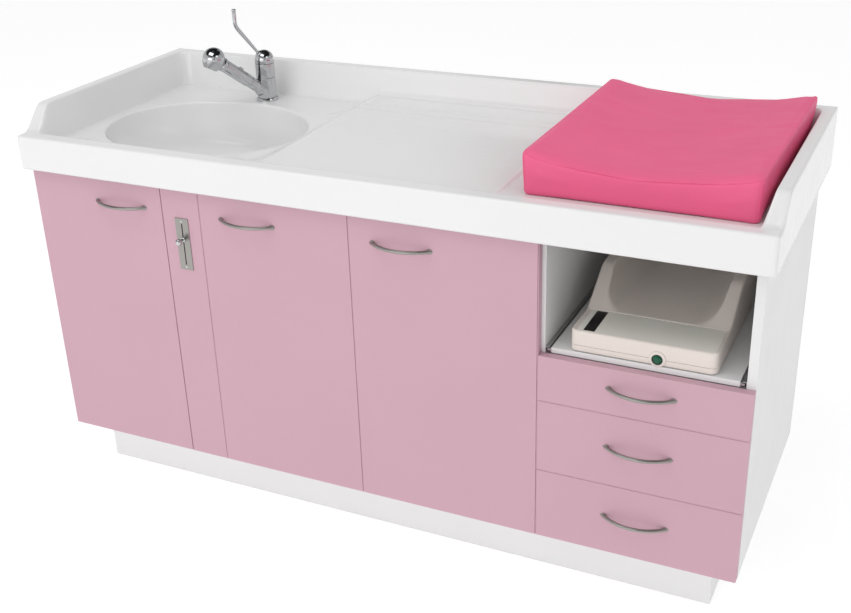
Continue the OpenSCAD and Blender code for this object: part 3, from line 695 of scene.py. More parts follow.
def edge_lines(radius: float, count: int = 6) -> list[float]:
    """Distances from the outside at which a rounded edge needs a grid line."""
    return [radius * (1 - math.cos(math.pi / 2 * k / count)) for k in range(count + 1)]


def around(place: float, *reaches: float) -> list[float]:
    """A place and the lines at both sides of it."""
    return [place] + [place + side * r for r in reaches for side in (-1, 1)]


# ------------------------------------------------------------------ worktop


@dataclass(frozen=True)
class Pocket:
    """A sunk area with a flat floor and sides that slope one in two."""

    x0: float
    x1: float
    y0: float
    y1: float
    floor: float

    def level(self, x: float, y: float) -> float:
        """Height of the pocket's surface."""
        out = max(self.x0 - x, x - self.x1, self.y0 - y, y - self.y1, 0.0)
        return self.floor + out / 2


@dataclass
class Worktop:
    """The moulded worktop: rim, lip, upstands, sunk decks and the bath basin."""

    width: float = 1750
    depth: float = 660
    rim: float = 900
    wet: float = 870
    upstand_top: float = 957
    upstand_foot: float = 46
    upstand_slope: float = 87 / 18
    lip_low: float = 820
    back_low: float = 860
    edge: float = 5
    corner: float = 8
    shell: float = 8
    basin_at: Point2 = (341, 297)
    basin_half: Point2 = (256, 215)
    basin_deep: float = 122
    basin_rim: float = 6
    mouth_left: float = 12
    drain_back: float = 100
    drain_radius: float = 17
    hole: tuple[float, float, float, float] = (63, 606, 70, 522)
    pockets: tuple[Pocket, ...] = (
        Pocket(46, 592, 96, 614, 870),
        Pocket(592, 1215, 66, 520, 885),
        Pocket(642, 1704, 94, 614, 892),
        Pocket(1185, 1704, 74, 614, 880),
    )

    def level(self, x: float, y: float) -> float:
        """Height of the upper surface before its outer edge is rounded."""
        z = self.rim
        for pocket in self.pockets:
            z = soft_min(z, pocket.level(x, y), 2.2)
        inward = soft_min(soft_min(x, self.width - x, 30), self.depth - y, 36)
        wall = self.wet + (self.upstand_foot - inward) * self.upstand_slope
        wall = soft_min(wall, self.upstand_top, 9)
        ramp = self.rim + (y - 36) * 57 / 52
        wall = soft_min(wall, ramp, 12) if ramp < self.upstand_top + 20 else wall
        return soft_max(z, wall, 14)

    def surface(self, x: float, y: float) -> float:
        """Height of the upper surface with its outer edge rounded."""
        out = min(x, self.width - x, y, self.depth - y)
        return self.level(x, y) - edge_drop(out, self.edge)

    def grid(self) -> bmesh.types.BMesh:
        """The upper surface, with an opening where the basin goes."""
        x0, x1, y0, y1 = self.hole
        edge = edge_lines(self.edge)
        half = edge + [9.5, 12] + around(28, 1, 2, 4) + around(46, 1, 2, 4, 8) + [20, 36]
        xs = filled_lines(
            half + [self.width - h for h in half] + [x0, x1]
            + around(593, 1.2, 3) + [600, 610] + around(622, 1, 2, 4, 8)
            + around(636, 3, 6) + [652] + around(1175, 1.5, 3, 6) + around(1185, 2, 5)
            + [1215], 11.5)
        ys = filled_lines(
            edge + [9.5, 12, 24] + around(36, 1, 2, 4, 7) + around(66, 2, 4) + around(74, 2, 4)
            + around(88, 3, 6) + [y0, y1] + around(520, 2, 4) + around(534, 2, 5)
            + around(614, 1, 2, 4, 8) + around(632, 1, 2, 4) + [645, 624]
            + [self.depth - e for e in edge], 11.5)
        bm = height_grid(xs, ys, self.surface)
        inside = [
            f for f in bm.faces
            if x0 < f.calc_center_median().x < x1 and y0 < f.calc_center_median().y < y1
        ]
        bmesh.ops.delete(bm, geom=inside, context="FACES")
        for vert in bm.verts:
            vert.co.x, vert.co.y = round_corner(
                vert.co.x, vert.co.y, self.width, self.depth + self.corner, self.corner)
        return bm

    def ring(self, share: float, deep: float, grow: float, angle: float) -> Point2:
        """A point on one of the basin's rings.

        Args:
            share: The ring's size as a share of the mouth.
            deep: Its depth as a share of the basin's.
            grow: How far it stands outside that size.
            angle: Where on the ring.

        Returns:
            The point in plan.
        """
        a, b = self.basin_half
        return (
            self.basin_at[0] - self.mouth_left * (1 - deep)
            + (a * share + grow) * math.cos(angle),
            self.basin_at[1] + self.drain_back * deep ** 4 + (b * share + grow) * math.sin(angle),
        )

    def ring_steps(self) -> list[Placer]:
        """The basin's rings from the opening in the deck down to the drain."""
        steps: list[Placer] = []

        def lip(angle: float) -> float:
            return self.level(*self.ring(1, 0, self.basin_rim, angle))

        def spread(t: float) -> Placer:
            def place(angle: float, start: Vector) -> Point3:
                x, y = self.ring(1, 0, self.basin_rim, angle)
                x, y = start.x * (1 - t) + x * t, start.y * (1 - t) + y * t
                return x, y, self.level(x, y)
            return place

        def rim(turn: float) -> Placer:
            def place(angle: float, _: Vector) -> Point3:
                x, y = self.ring(1, 0, self.basin_rim * (1 - math.sin(turn)), angle)
                return x, y, lip(angle) - self.basin_rim * (1 - math.cos(turn))
            return place

        def wall(share: float, deep: float) -> Placer:
            def place(angle: float, _: Vector) -> Point3:
                x, y = self.ring(share, deep, 0, angle)
                proud = (lip(angle) - self.wet) * (1 - deep) ** 2
                return x, y, self.wet - self.basin_deep * deep + proud
            return place

        def drain(radius: float, drop: float) -> Placer:
            def place(angle: float, _: Vector) -> Point3:
                return (
                    self.basin_at[0] + radius * math.cos(angle),
                    self.basin_at[1] + self.drain_back + radius * math.sin(angle),
                    self.wet - self.basin_deep - drop,
                )
            return place

        power, rings = 1 / 1.4, 26
        steps += [spread(t) for t in (0.3, 0.6, 0.85, 1.0)]
        steps += [rim(math.pi / 2 * k / 6) for k in range(1, 7)]
        for k in range(1, rings):
            turn = math.pi / 2 * k / rings
            steps.append(wall(math.cos(turn) ** power, math.sin(turn) ** power))
        steps += [wall(0.14, 1.0), drain(24, 0), drain(self.drain_radius, 0),
                  drain(self.drain_radius, 4)]
        return steps

    def build(self, shop: Workshop) -> None:
        """Makes the worktop as one shell and lets it stand for its CAD node."""
        bm = self.grid()
        angle_of = bm.verts.layers.float.new("angle")
        start_of = bm.verts.layers.float_vector.new("start")
        x0, x1, y0, y1 = self.hole
        inner = [
            e for e in bm.edges if e.is_boundary and all(
                x0 - 1 < v.co.x < x1 + 1 and y0 - 1 < v.co.y < y1 + 1 for v in e.verts)
        ]
        outer = [e for e in bm.edges if e.is_boundary and e not in set(inner)]
        for edge in inner:
            for vert in edge.verts:
                vert[angle_of] = math.atan2(
                    (vert.co.y - self.basin_at[1]) / self.basin_half[1],
                    (vert.co.x - self.basin_at[0]) / self.basin_half[0])
                vert[start_of] = vert.co
        for step in self.ring_steps():
            inner, points = grown_rim(bm, inner)
            for vert in points:
                vert.co = step(vert[angle_of], vert[start_of])
        for drop in (0.06, 0.5, 0.95, 1.0):
            outer, points = grown_rim(bm, outer)
            for vert in points:
                at_back = vert.co.y > self.depth - 0.5 and 9 < vert.co.x < self.width - 9
                low = self.back_low if at_back else self.lip_low
                top = self.surface(
                    min(max(vert.co.x, 0), self.width), min(max(vert.co.y, 0), self.depth))
                vert.co.z = top + (low - top) * drop
        face_up(bm)
        made = shop.piece("worktop_shell", bm, "moulded_worktop", "cabinet", ["worktop"], 80)
        solid = made.modifiers.new("shell", "SOLIDIFY")
        solid.thickness = self.shell * MM
        solid.offset = -1


# ------------------------------------------------------------------ mixer and basin fittings


@dataclass
class Mixer:
    """The basin mixer: column, swivelling spout with a pull-out spray, cap and lever."""

    x: float = 341
    y: float = 558
    deck: float = 870
    column: float = 25
    turn_deg: float = 25
    arm_slope_deg: float = 38
    arm_from: float = 888
    arm_end: float = 63
    head_at: float = 186
    head_radius: float = 29
    outlet_tilt_deg: float = -60
    lever_from: float = 974
    lever_slope_deg: float = 53
    lever_long: float = 120
    lever_tip: float = 43.5
    lever_bend: float = 14
    lever_off_line: Point3 = (-2.5, -2.5, 2)

    def heading(self, slope_deg: float) -> Vector:
        """The direction of the arm's heading at a slope above the horizontal."""
        turn, slope = math.radians(self.turn_deg), math.radians(slope_deg)
        return Vector((
            -math.sin(turn) * math.cos(slope), -math.cos(turn) * math.cos(slope),
            math.sin(slope)))

    def upright(self) -> Matrix:
        """The column's axis."""
        return Matrix.Translation((self.x, self.y, 0))

    def body(self, shop: Workshop) -> None:
        """The fixed column with its base ring, shank and nut."""
        d, c = self.deck, self.column
        bm = turned(rounded_path([
            (0, d - 48, 0), (16, d - 48, 0.8), (16, d - 1, 0.3), (c + 3.4, d + 0.1, 0.6),
            (c + 3.4, d + 3.5, 1.2), (c + 1.2, d + 8, 0.8), (18, d + 8, 0), (18, d + 60, 0),
            (c, d + 60.5, 0.7), (c, d + 97, 0.7), (12, d + 97, 0), (0, d + 97, 0)]),
            self.upright(), 64)
        nut = bmesh.new()
        bmesh.ops.create_cone(nut, cap_ends=True, segments=6, radius1=26, radius2=26, depth=8)
        nut.transform(Matrix.Translation((self.x, self.y, d - 14)))
        shop.piece("mixer_column", joined(nut, bm), "chrome", "cabinet", ["mixer_body"])

    def spout(self, shop: Workshop) -> None:
        """The swivelling sleeve with its arm."""
        d, c = self.deck, self.column
        bm = turned(rounded_path([
            (19, d + 8.3, 0), (c, d + 8.3, 0.7), (c, d + 60, 0.7), (19, d + 60, 0),
            (19, d + 8.3, 0)]), self.upright(), 64)
        arm = aimed(Vector((self.x, self.y, self.arm_from)), self.heading(self.arm_slope_deg))
        bm = turned(rounded_path([
            (0, 8, 0), (17, 8, 0), (18.5, 24, 3), (15, 33, 8), (15, self.arm_end, 0.8),
            (0, self.arm_end, 0)]), arm, 48, bm)
        shop.piece("mixer_spout_arm", bm, "chrome", "spout", ["mixer_spout"])

    def spray(self, shop: Workshop) -> None:
        """The pull-out hand spray with its ball head and outlet disc."""
        axis = self.heading(self.arm_slope_deg)
        foot = Vector((self.x, self.y, self.arm_from))
        arm, e = aimed(foot, axis), self.arm_end
        bm = turned(rounded_path([
            (0, e - 20, 0), (10, e - 20, 0), (10, e + 0.6, 0), (15.2, e + 0.6, 0.8),
            (15.2, e + 5.4, 0.6), (14.6, e + 5.8, 0), (16.5, e + 6.6, 0.8),
            (16.5, self.head_at - 36, 0.8), (15.8, self.head_at - 35, 0.3),
            (17.6, self.head_at - 34, 1.0), (18.4, self.head_at - 26, 1.2),
            (12, self.head_at - 18, 0), (0, self.head_at - 18, 0)]), arm, 48)
        r = self.head_radius
        cap = [(r * math.sin(a), -r * math.cos(a)) for a in (
            math.radians(108 * k / 24) for k in range(25))]
        ball = rounded_path(
            [(x, z, 0) for x, z in cap]
            + [(r * 0.62, r * 0.93, 2.4), (r * 0.54, r * 0.94, 0.6), (r * 0.5, r * 0.86, 0.5),
               (0, r * 0.86, 0)])
        centre = foot + axis * self.head_at
        outlet = self.heading(self.outlet_tilt_deg)
        bm = turned(ball, aimed(centre, outlet), 64, bm)
        side = axis.cross(Vector((0, 0, 1))).normalized()
        up = side.cross(axis).normalized()
        bm = block((7, 3.4, 13), aimed(foot + axis * (e + 40) + up * 16.8, axis), 1.1, 3, bm)
        shop.piece("hand_spray_grip", bm, "chrome", "hand_spray", ["spray_handle"])
        disc = r * 0.49
        place = aimed(centre + outlet * (r * 0.86 - 0.5), outlet)
        plate = turned(rounded_path([
            (0, 0, 0), (disc, 0, 0), (disc, 1.9, 0.6), (0, 2.2, 0)]), place, 40)
        for count, radius in ((1, 0.0), (6, 4.5), (12, 9.5)):
            for k in range(count):
                nozzle = Matrix.Rotation(2 * math.pi * k / count, 4, "Z") @ Matrix.Translation(
                    (radius, 0, 0))
                turned([(0, 2), (0.9, 2), (0.7, 3.1), (0, 3.1)], place @ nozzle, 8, plate)
        shop.piece("spray_outlet", plate, "white_plastic", "hand_spray", ["spray_face"])

    def cap(self, shop: Workshop) -> None:
        """The domed cap that turns to set the warmth."""
        low, c = self.deck + 97.3, self.column
        dome = [
            (c * math.cos(a), low + 8 + c * math.sin(a))
            for a in (math.pi / 2 * k / 14 for k in range(15))
        ]
        bm = turned(
            rounded_path([(0, low, 0), (c - 2, low, 0), (c, low + 0.3, 0.7), (c, low + 6, 0)])
            + dome, self.upright(), 64)
        pivot = Vector((self.x, self.y, self.lever_from))
        collar = aimed(pivot, self.heading(self.lever_slope_deg))
        bm = turned(rounded_path([
            (0, 14, 0), (8.6, 14, 0), (8.6, 25.5, 1.6), (6.4, 27.5, 0.8), (0, 27.5, 0)]),
            collar, 32, bm)
        shop.piece("mixer_dome", bm, "chrome", "temperature_cap", ["mixer_cap"])

    def lever(self, shop: Workshop) -> None:
        """The long lever, which bends upright at its end."""
        up, bend = Vector((0, 0, 1)), self.lever_bend
        pivot = Vector((self.x, self.y, self.lever_from))
        along = (self.heading(self.lever_slope_deg) * self.lever_long
                 + Vector(self.lever_off_line))
        knee = pivot + along
        out = along.normalized()
        points = [pivot + out * t for t in (6, 20, 40, 60, 80, along.length - bend)]
        radii = [3.4, 3.5, 3.9, 4.3, 4.7, 5.0]
        for k in range(1, 12):
            t = k / 12
            points.append(
                (knee - out * bend) * (1 - t) ** 2 + knee * 2 * t * (1 - t)
                + (knee + up * bend) * t ** 2)
            radii.append(5.0 + 0.4 * t)
        top = self.lever_tip
        for rise, radius in ((bend, 5.4), (top - 2.4, 5.7), (top - 1.0, 5.4), (top - 0.3, 4.4),
                             (top, 2.8)):
            points.append(knee + up * rise)
            radii.append(radius)
        bm = tube(points, radii)
        shop.piece("mixer_lever_rod", bm, "chrome", "lever", ["mixer_lever"], 60)

    def build(self, shop: Workshop) -> None:
        """Makes every part of the mixer."""
        self.body(shop)
        self.spout(shop)
        self.spray(shop)
        self.cap(shop)
        self.lever(shop)


@dataclass
class BasinFittings:
    """The drain's flange and plug, and the knob that works it."""

    drain: Point3 = (341, 397, 748)
    plate: Point3 = (436, 14, 685)
    knob_rise: float = 12

    def build(self, shop: Workshop) -> None:
        """Makes the turned parts."""
        x, y, z = self.drain
        stand = Matrix.Translation((x, y, 0))
        flange = turned(rounded_path([
            (14, z - 68, 0), (16, z - 68, 0), (16, z - 18, 0), (25, z - 18, 0.5),
            (25, z - 8.2, 0.5), (16, z - 8.2, 0), (16, z, 0), (21, z, 0.4), (21, z + 2, 1.2),
            (18.6, z + 2.6, 1), (16.4, z + 1.4, 0.8), (14, z - 3, 1), (14, z - 68, 0)]),
            stand, 48)
        shop.piece("drain_flange", flange, "chrome", "cabinet", ["basin_waste"])
        w = z + 6.5
        plug = turned(rounded_path([
            (0, w - 50, 0), (3, w - 50, 0.3), (3, w, 0), (15, w, 0.6), (18, w + 1.2, 1),
            (17.4, w + 3.2, 1.2), (10, w + 4.8, 3), (0, w + 5, 0)]), stand, 48)
        shop.piece("drain_plug_cap", plug, "chrome", "plug", ["drain_plug"])
        px, py, pz = self.plate
        out = aimed(Vector((px, py, pz + self.knob_rise)), Vector((0, -1, 0)))
        ball = [
            (8 * math.cos(a), 18 + 8 * math.sin(a))
            for a in (math.radians(-66 + 156 * k / 16) for k in range(17))
        ]
        knob = turned(
            rounded_path([(0, 0.6, 0), (5.6, 0.6, 0.4), (5.6, 2.2, 0.6), (3.2, 3.2, 0.5),
                          (3.2, 9.6, 0.4)]) + ball, out, 40)
        _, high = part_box("drain_knob")
        rod = turned([(0, -28), (1.1, -28), (1.1, 1), (0, 1)], out, 12, knob)
        carrier = block((24, 7.5, 24), Matrix.Translation((
            px, (high.y - shop.datum.front) / MM - 3.75, pz + self.knob_rise)), 1, 2, rod)
        shop.piece("drain_knob_ball", carrier, "chrome", "drain_control", ["drain_knob"])
        screws = bmesh.new()
        for side in (-1, 1):
            seat = aimed(Vector((px, py, pz + side * 56)), Vector((0, -1, 0)))
            turned(rounded_path([(0, -13, 0), (1.5, -13, 0), (1.5, 0, 0), (3.2, 0, 0.2),
                                 (2.6, 0.8, 0.3), (0, 0.9, 0)]), seat, 20, screws)
        shop.piece("plate_screw_heads", screws, "chrome", "cabinet", ["slot_plate_screws"])


# ------------------------------------------------------------------ fronts


@dataclass
class BowHandle:
    """A slim bow handle on a door or drawer front."""

    node: str
    body: str
    length: float = 148
    reach: float = 30
    radius: float = 4
    face: float = 16

    def build(self, shop: Workshop) -> None:
        """Bends a rod round the bow's centre and trims it at the front's face."""
        low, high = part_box(self.node)
        mid = ((low + high) / 2 - Vector((shop.datum.left, shop.datum.front, 0))) / MM
        sag = self.reach - self.radius
        half = self.length / 2 - 1.5 * self.radius
        arc = (half * half + sag * sag) / (2 * sag)
        sweep = math.asin(half / arc) + math.radians(4)
        centre = Vector((mid.x, self.face + arc - sag, mid.z))
        bm = bmesh.new()
        ring = bmesh.ops.create_circle(bm, segments=20, radius=self.radius)["verts"]
        bmesh.ops.rotate(bm, verts=ring, cent=(0, 0, 0),
                         matrix=Matrix.Rotation(math.pi / 2, 3, "X"))
        bmesh.ops.translate(bm, verts=ring, vec=(arc, 0, 0))
        bmesh.ops.rotate(bm, verts=ring, cent=(0, 0, 0),
                         matrix=Matrix.Rotation(-math.pi / 2 - sweep, 3, "Z"))
        bmesh.ops.spin(bm, geom=bm.verts[:] + bm.edges[:], cent=(0, 0, 0), axis=(0, 0, 1),
                       angle=2 * sweep, steps=56, use_merge=False)
        bmesh.ops.translate(bm, verts=bm.verts, vec=centre)
        cut = bmesh.ops.bisect_plane(
            bm, geom=bm.verts[:] + bm.edges[:] + bm.faces[:], plane_co=(0, self.face, 0),
            plane_no=(0, 1, 0), clear_outer=True)["geom_cut"]
        bmesh.ops.holes_fill(bm, edges=[g for g in cut if isinstance(g, bmesh.types.BMEdge)])
        bmesh.ops.recalc_face_normals(bm, faces=bm.faces)
        for side in (-1, 1):
            foot = aimed(Vector((mid.x + side * (half - 2), self.face, mid.z)), Vector((0, -1, 0)))
            turned(rounded_path([(0, 0, 0), (6.2, 0, 0), (5.6, 2.2, 0.8), (0, 2.2, 0)]),
                   foot, 24, bm)
        shop.piece(self.node + "_bow", bm, "brushed_steel", self.body, [self.node])


@dataclass
class JointLightStrips:
    """Pink strips in the joints between the fronts, set back from their faces: painted light, lit
    pink laid where the joints would fall into shade.
    """

    width: float = 2.2
    set_back: float = 1.2
    board: Point2 = (16, 35)
    low: float = 121
    top: float = 817
    uprights: tuple[float, ...] = (385.5, 486.5, 865, 1292)

    @staticmethod
    def bar(
        x: Point2, y: Point2, z: Point2, bm: bmesh.types.BMesh | None = None
    ) -> bmesh.types.BMesh:
        """One lip from its limits along each axis, with its edges rounded."""
        return block((x[1] - x[0], y[1] - y[0], z[1] - z[0]), Matrix.Translation(
            (sum(x) / 2, sum(y) / 2, sum(z) / 2)), 0.3, 2, bm)

    def build(self, shop: Workshop) -> None:
        """Makes the upright strips and the ones on the lower drawers' top edges, the painted light
        in the joints.
        """
        front, back = self.board[0] + self.set_back, self.board[1]
        bm = None
        for x in self.uprights:
            half = self.width / 2
            bm = self.bar((x - half, x + half), (front, back + 0.8), (self.low, self.top), bm)
        # Painted light: pink strips standing in for light in the upright joints, which would
        # otherwise be in shade.
        shop.piece("joint_painted_light", bm, "pink_laminate", "cabinet")
        for drawer, above in (("bottom", "middle"), ("middle", "top")):
            low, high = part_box(f"drawer_{drawer}_front")
            rise = (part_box(f"drawer_{above}_front")[0].z - high.z) / MM
            x0, x1 = ((v.x - shop.datum.left) / MM for v in (low, high))
            # Painted light: a pink strip standing in for light in the joint above this drawer.
            lip = self.bar((x0, x1), (front, front + 6),
                           (high.z / MM - 0.2, high.z / MM + rise - 0.5))
            shop.piece(f"{drawer}_drawer_painted_light", lip, "pink_laminate", f"{drawer}_drawer")


# ------------------------------------------------------------------ baby scale


@dataclass
class BabyScale:
    """The baby scale: a lower pan, an upper shell with a trough, and the start button."""

    left: float = 1353.25
    front: float = 39
    width: float = 299
    length: float = 550
    corner: float = 14
    edge: float = 4.5
    low: float = 581
    seam: float = 593.5
    console: float = 626.5
    console_deep: float = 108
    cradle: float = 690.5
    trough_half: float = 121
    trough_corner: float = 46
    film_sunk: float = 1.2
    wall: float = 3
    cap_over: float = 1.4

    def level(self, x: float, y: float) -> float:
        """Height of the upper shell, from its own corner."""
        slope = self.console + (y - self.console_deep) * 0.62
        z = soft_min(soft_max(self.console, slope, 5), self.cradle, 8)
        off = abs(x - self.width / 2)
        bend = max(off - (self.trough_half - self.trough_corner), 0) / self.trough_corner
        if bend < 1:
            floor = self.console + 1 + self.trough_corner * (1 - math.sqrt(1 - bend * bend))
        else:
            floor = self.console + 1 + self.trough_corner + (off - self.trough_half) * 6
        sunk = soft_min(z, floor, 4) if y > self.console_deep else z
        inside = min(x - 5, self.width - 5 - x, y - 4, self.console_deep - y)
        return sunk - self.film_sunk * min(max(inside, 0), 1)

    def surface(self, x: float, y: float) -> float:
        """Height of the upper shell with its outer edge rounded."""
        out = min(x, self.width - x, y, self.length - y)
        return self.level(x, y) - edge_drop(out, self.edge)

    def shell(self, shop: Workshop) -> None:
        """The upper shell, closed at the seam."""
        e, w, l, half = edge_lines(self.edge, 5), self.width, self.length, self.width / 2
        across = [half - self.trough_half + k * self.trough_corner / 12 for k in range(13)]
        side = e + [5, 6, 9, 14, 20] + across + around(half - self.trough_half, 1, 2.5, 5)
        xs = filled_lines(side + [w - a for a in side], 8)
        ys = filled_lines(
            e + [4, 5, 9, 14] + around(self.console_deep, 0.6, 1, 2.5, 5, 9)
            + around(self.console_deep + 103, 3, 6, 10) + [l - 14] + [l - a for a in e], 8)
        bm = height_grid(xs, ys, self.surface)
        for vert in bm.verts:
            vert.co.x, vert.co.y = round_corner(vert.co.x, vert.co.y, w, l, self.corner)
        outer = [edge for edge in bm.edges if edge.is_boundary]
        start = {}
        for share in (0.3, 0.7, 0.97, 1.0, 1.001):
            outer, points = grown_rim(bm, outer)
            for vert in points:
                below = self.seam + 0.45
                top = start.setdefault((round(vert.co.x, 2), round(vert.co.y, 2)), vert.co.z)
                vert.co.z = top + (below - top) * min(share, 1.0)
                if share > 1:
                    vert.co.x += math.copysign(1.4, half - vert.co.x)
                    vert.co.y += math.copysign(1.4, l / 2 - vert.co.y)
        face_up(bm)
        bmesh.ops.translate(bm, verts=bm.verts, vec=(self.left, self.front, 0))
        made = shop.piece("scale_shell", bm, "cream_plastic", "tray", ["scale_cradle"], 50)
        solid = made.modifiers.new("wall", "SOLIDIFY")
        solid.thickness, solid.offset = self.wall * MM, -1

    def pan(self, shop: Workshop) -> None:
        """The lower pan, and a step inside it that fills the seam's groove."""
        bm = bmesh.new()
        for grow, z0, z1 in (
            (0.0, self.low, self.seam - 0.45), (-1.6, self.seam - 3, self.seam + 3)
        ):
            part = bmesh.new()
            bmesh.ops.create_cube(part, size=1)
            size = (self.width + 2 * grow, self.length + 2 * grow, z1 - z0)
            bmesh.ops.scale(part, vec=size, verts=part.verts)
            upright = [
                e for e in part.edges if abs(e.verts[0].co.z - e.verts[1].co.z) > 1]
            bmesh.ops.bevel(part, geom=upright, offset=self.corner + grow, segments=8,
                            affect="EDGES", profile=0.5, material=-1)
            rims = [e for e in part.edges if abs(e.verts[0].co.z - e.verts[1].co.z) < 0.01]
            rims = [e for e in rims if any(abs(f.normal.z) > 0.9 for f in e.link_faces)]
            bmesh.ops.bevel(part, geom=rims, offset=0.8, segments=3, affect="EDGES",
                            profile=0.5, material=-1)
            part.transform(Matrix.Translation((
                self.left + self.width / 2, self.front + self.length / 2, (z0 + z1) / 2)))
            bm = joined(part, bm)
        shop.piece("scale_pan", bm, "cream_plastic", "tray", ["scale_base"])

    def button(self, shop: Workshop) -> None:
        """The start button, and the arched boss round it."""
        low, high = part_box("scale_button")
        mid = ((low + high) / 2 - Vector((shop.datum.left, shop.datum.front, 0))) / MM
        front = (low.y - shop.datum.front) / MM
        cap = (high.x - low.x) / MM / 2 + self.cap_over
        out = aimed(Vector((mid.x, front + 10, mid.z)), Vector((0, -1, 0)))
        bm = turned(rounded_path([
            (0, 0, 0), (cap, 0, 0), (cap, 8.2, 1.4), (cap * 0.6, 10.4, 2), (0, 10.4, 0)]),
            out, 40)
        shop.piece("start_button_dome", bm, "green_button", "start_button", ["scale_button"])
        boss = turned(rounded_path([
            (cap + 1.8, 1, 0), (cap + 8.5, 1, 0), (cap + 7.6, 7.4, 1.6),
            (cap + 2.6, 8.2, 0.8), (cap + 1.8, 7.4, 0.4), (cap + 1.8, 1, 0)]), out, 48)
        shop.piece("start_button_boss", boss, "cream_plastic", "tray")
        dark = turned([(cap + 0.1, 1), (cap + 1.9, 1), (cap + 1.9, 7.8),
                       (cap + 0.1, 7.8), (cap + 0.1, 1)], out, 40)
        shop.piece("start_button_seal", dark, "rubber", "tray")

    def build(self, shop: Workshop) -> None:
        """Makes the scale's housing and its button."""
        self.shell(shop)
        self.pan(shop)
        self.button(shop)


# ------------------------------------------------------------------ mat


@dataclass
class ChangingMat:
    """The padded mat: foam in a welded cover, with a trough along its depth."""

    side_high: float = 91
    back_rise: float = 22
    dip: float = 31
    corner: float = 16
    grown: Point3 = (9, 6, 0)
    voxel: float = 0.006
    swell: float = 0.004
    frames: int = 20

    lean: float = 17
    shift: Point2 = (22, 15)

    def top(self, u: float, v: float) -> float:
        """Height of the top above the mat's underside, in metres.

        Args:
            u: Share of the way across.
            v: Share of the way back.

        Returns:
            The height.
        """
        across = (2 * u - 1) ** 2
        return (self.side_high + self.back_rise * v - self.dip * (1 - across)) * MM

    def block(self, low: Vector, high: Vector) -> bpy.types.Object:
        """The foam's block, meshed evenly, with its trough pressed in."""
        size = high - low
        bm = bmesh.new()
        bmesh.ops.create_cube(bm, size=1)
        bmesh.ops.scale(bm, vec=size, verts=bm.verts)
        bmesh.ops.translate(bm, verts=bm.verts, vec=(low + high) / 2)
        upright = [
            e for e in bm.edges if abs(e.verts[0].co.z - e.verts[1].co.z) > size.z / 2]
        bmesh.ops.bevel(bm, geom=upright, offset=self.corner * MM, segments=5, affect="EDGES",
                        profile=0.5, material=-1)
        flat = [e for e in bm.edges if abs(e.verts[0].co.z - e.verts[1].co.z) < 1e-6
                and len({round(f.normal.z, 2) for f in e.link_faces}) > 1]
        bmesh.ops.bevel(bm, geom=flat, offset=0.006, segments=3, affect="EDGES",
                        profile=0.5, material=-1)
        mesh = bpy.data.meshes.new("mat_block")
        bm.to_mesh(mesh)
        bm.free()
        made = bpy.data.objects.new("mat_block", mesh)
        bpy.context.scene.collection.objects.link(made)
        remesh = made.modifiers.new("even", "REMESH")
        remesh.mode, remesh.voxel_size = "VOXEL", self.voxel
        self.apply(made)
        for vert in made.data.vertices:
            u = min(max((vert.co.x - low.x) / size.x, 0), 1)
            v = min(max((vert.co.y - low.y) / size.y, 0), 1)
            share = (vert.co.z - low.z) / size.z
            vert.co.z = low.z + share * self.top(u, v)
            vert.co.x += MM * v * share * (self.shift[0] * (1 - u) + self.shift[1] * u)
            vert.co.x -= MM * 4 * (1 - v) * share * (1 - u)
            vert.co.y += MM * v * share * self.lean
        return made

    @staticmethod
    def apply(made: bpy.types.Object) -> None:
        """Bakes an object's modifiers into its mesh."""
        graph = bpy.context.evaluated_depsgraph_get()
        mesh = bpy.data.meshes.new_from_object(made.evaluated_get(graph), depsgraph=graph)
        made.modifiers.clear()
        made.data = mesh

    def puff(self, made: bpy.types.Object, floor: float) -> None:
        """Lets the cover swell under pressure, within a small limit."""
        before = [v.co.copy() for v in made.data.vertices]
        cloth = made.modifiers.new("cover", "CLOTH")
        cloth.settings.use_pressure = True
        cloth.settings.uniform_pressure_force = 4
        cloth.settings.tension_stiffness = 20
        cloth.settings.bending_stiffness = 3
        cloth.settings.effector_weights.gravity = 0
        scene = bpy.context.scene
        for frame in range(1, self.frames + 1):
            scene.frame_set(frame)
        self.apply(made)
        scene.frame_set(1)
        for vert, start in zip(made.data.vertices, before):
            move = vert.co - start
            if move.length > self.swell:
                move *= self.swell / move.length
            vert.co = start + move
            vert.co.z = max(vert.co.z, floor)

    def seams(self, made: bpy.types.Object, low: Vector, high: Vector) -> bmesh.types.BMesh:
        """The welds along the top edge and down the corners, laid on the cover."""
        tree = BVHTree.FromObject(made, bpy.context.evaluated_depsgraph_get())
        size, middle = high - low, (low + high) / 2

        def on_cover(u: float, v: float, share: float) -> Vector:
            guess = Vector((low.x + u * size.x, low.y + v * size.y,
                            low.z + share * self.top(u, v)))
            guess.x += MM * v * share * (self.shift[0] * (1 - u) + self.shift[1] * u)
            guess.y += MM * v * share * self.lean
            away = guess - Vector((middle.x, middle.y, guess.z - 0.05))
            place, normal, _, _ = tree.find_nearest(guess + away.normalized() * 0.004)
            return place + normal * 0.0002

        ring = []
        for k in range(320):
            c, s = math.cos(math.tau * k / 320), math.sin(math.tau * k / 320)
            ring.append(on_cover(
                0.5 + 0.5 * math.copysign(abs(c) ** 0.1, c),
                0.5 + 0.5 * math.copysign(abs(s) ** 0.1, s), 1.0))
        bm = tube(ring, [0.0011] * len(ring), sides=2, closed=True)
        for u, v in ((0.012, 0.012), (0.988, 0.012), (0.012, 0.988), (0.988, 0.988)):
            line = [on_cover(u, v, 0.06 + 0.86 * k / 20) for k in range(21)]
            bm = tube(line, [0.0010] * len(line), bm, sides=2)
        return bm

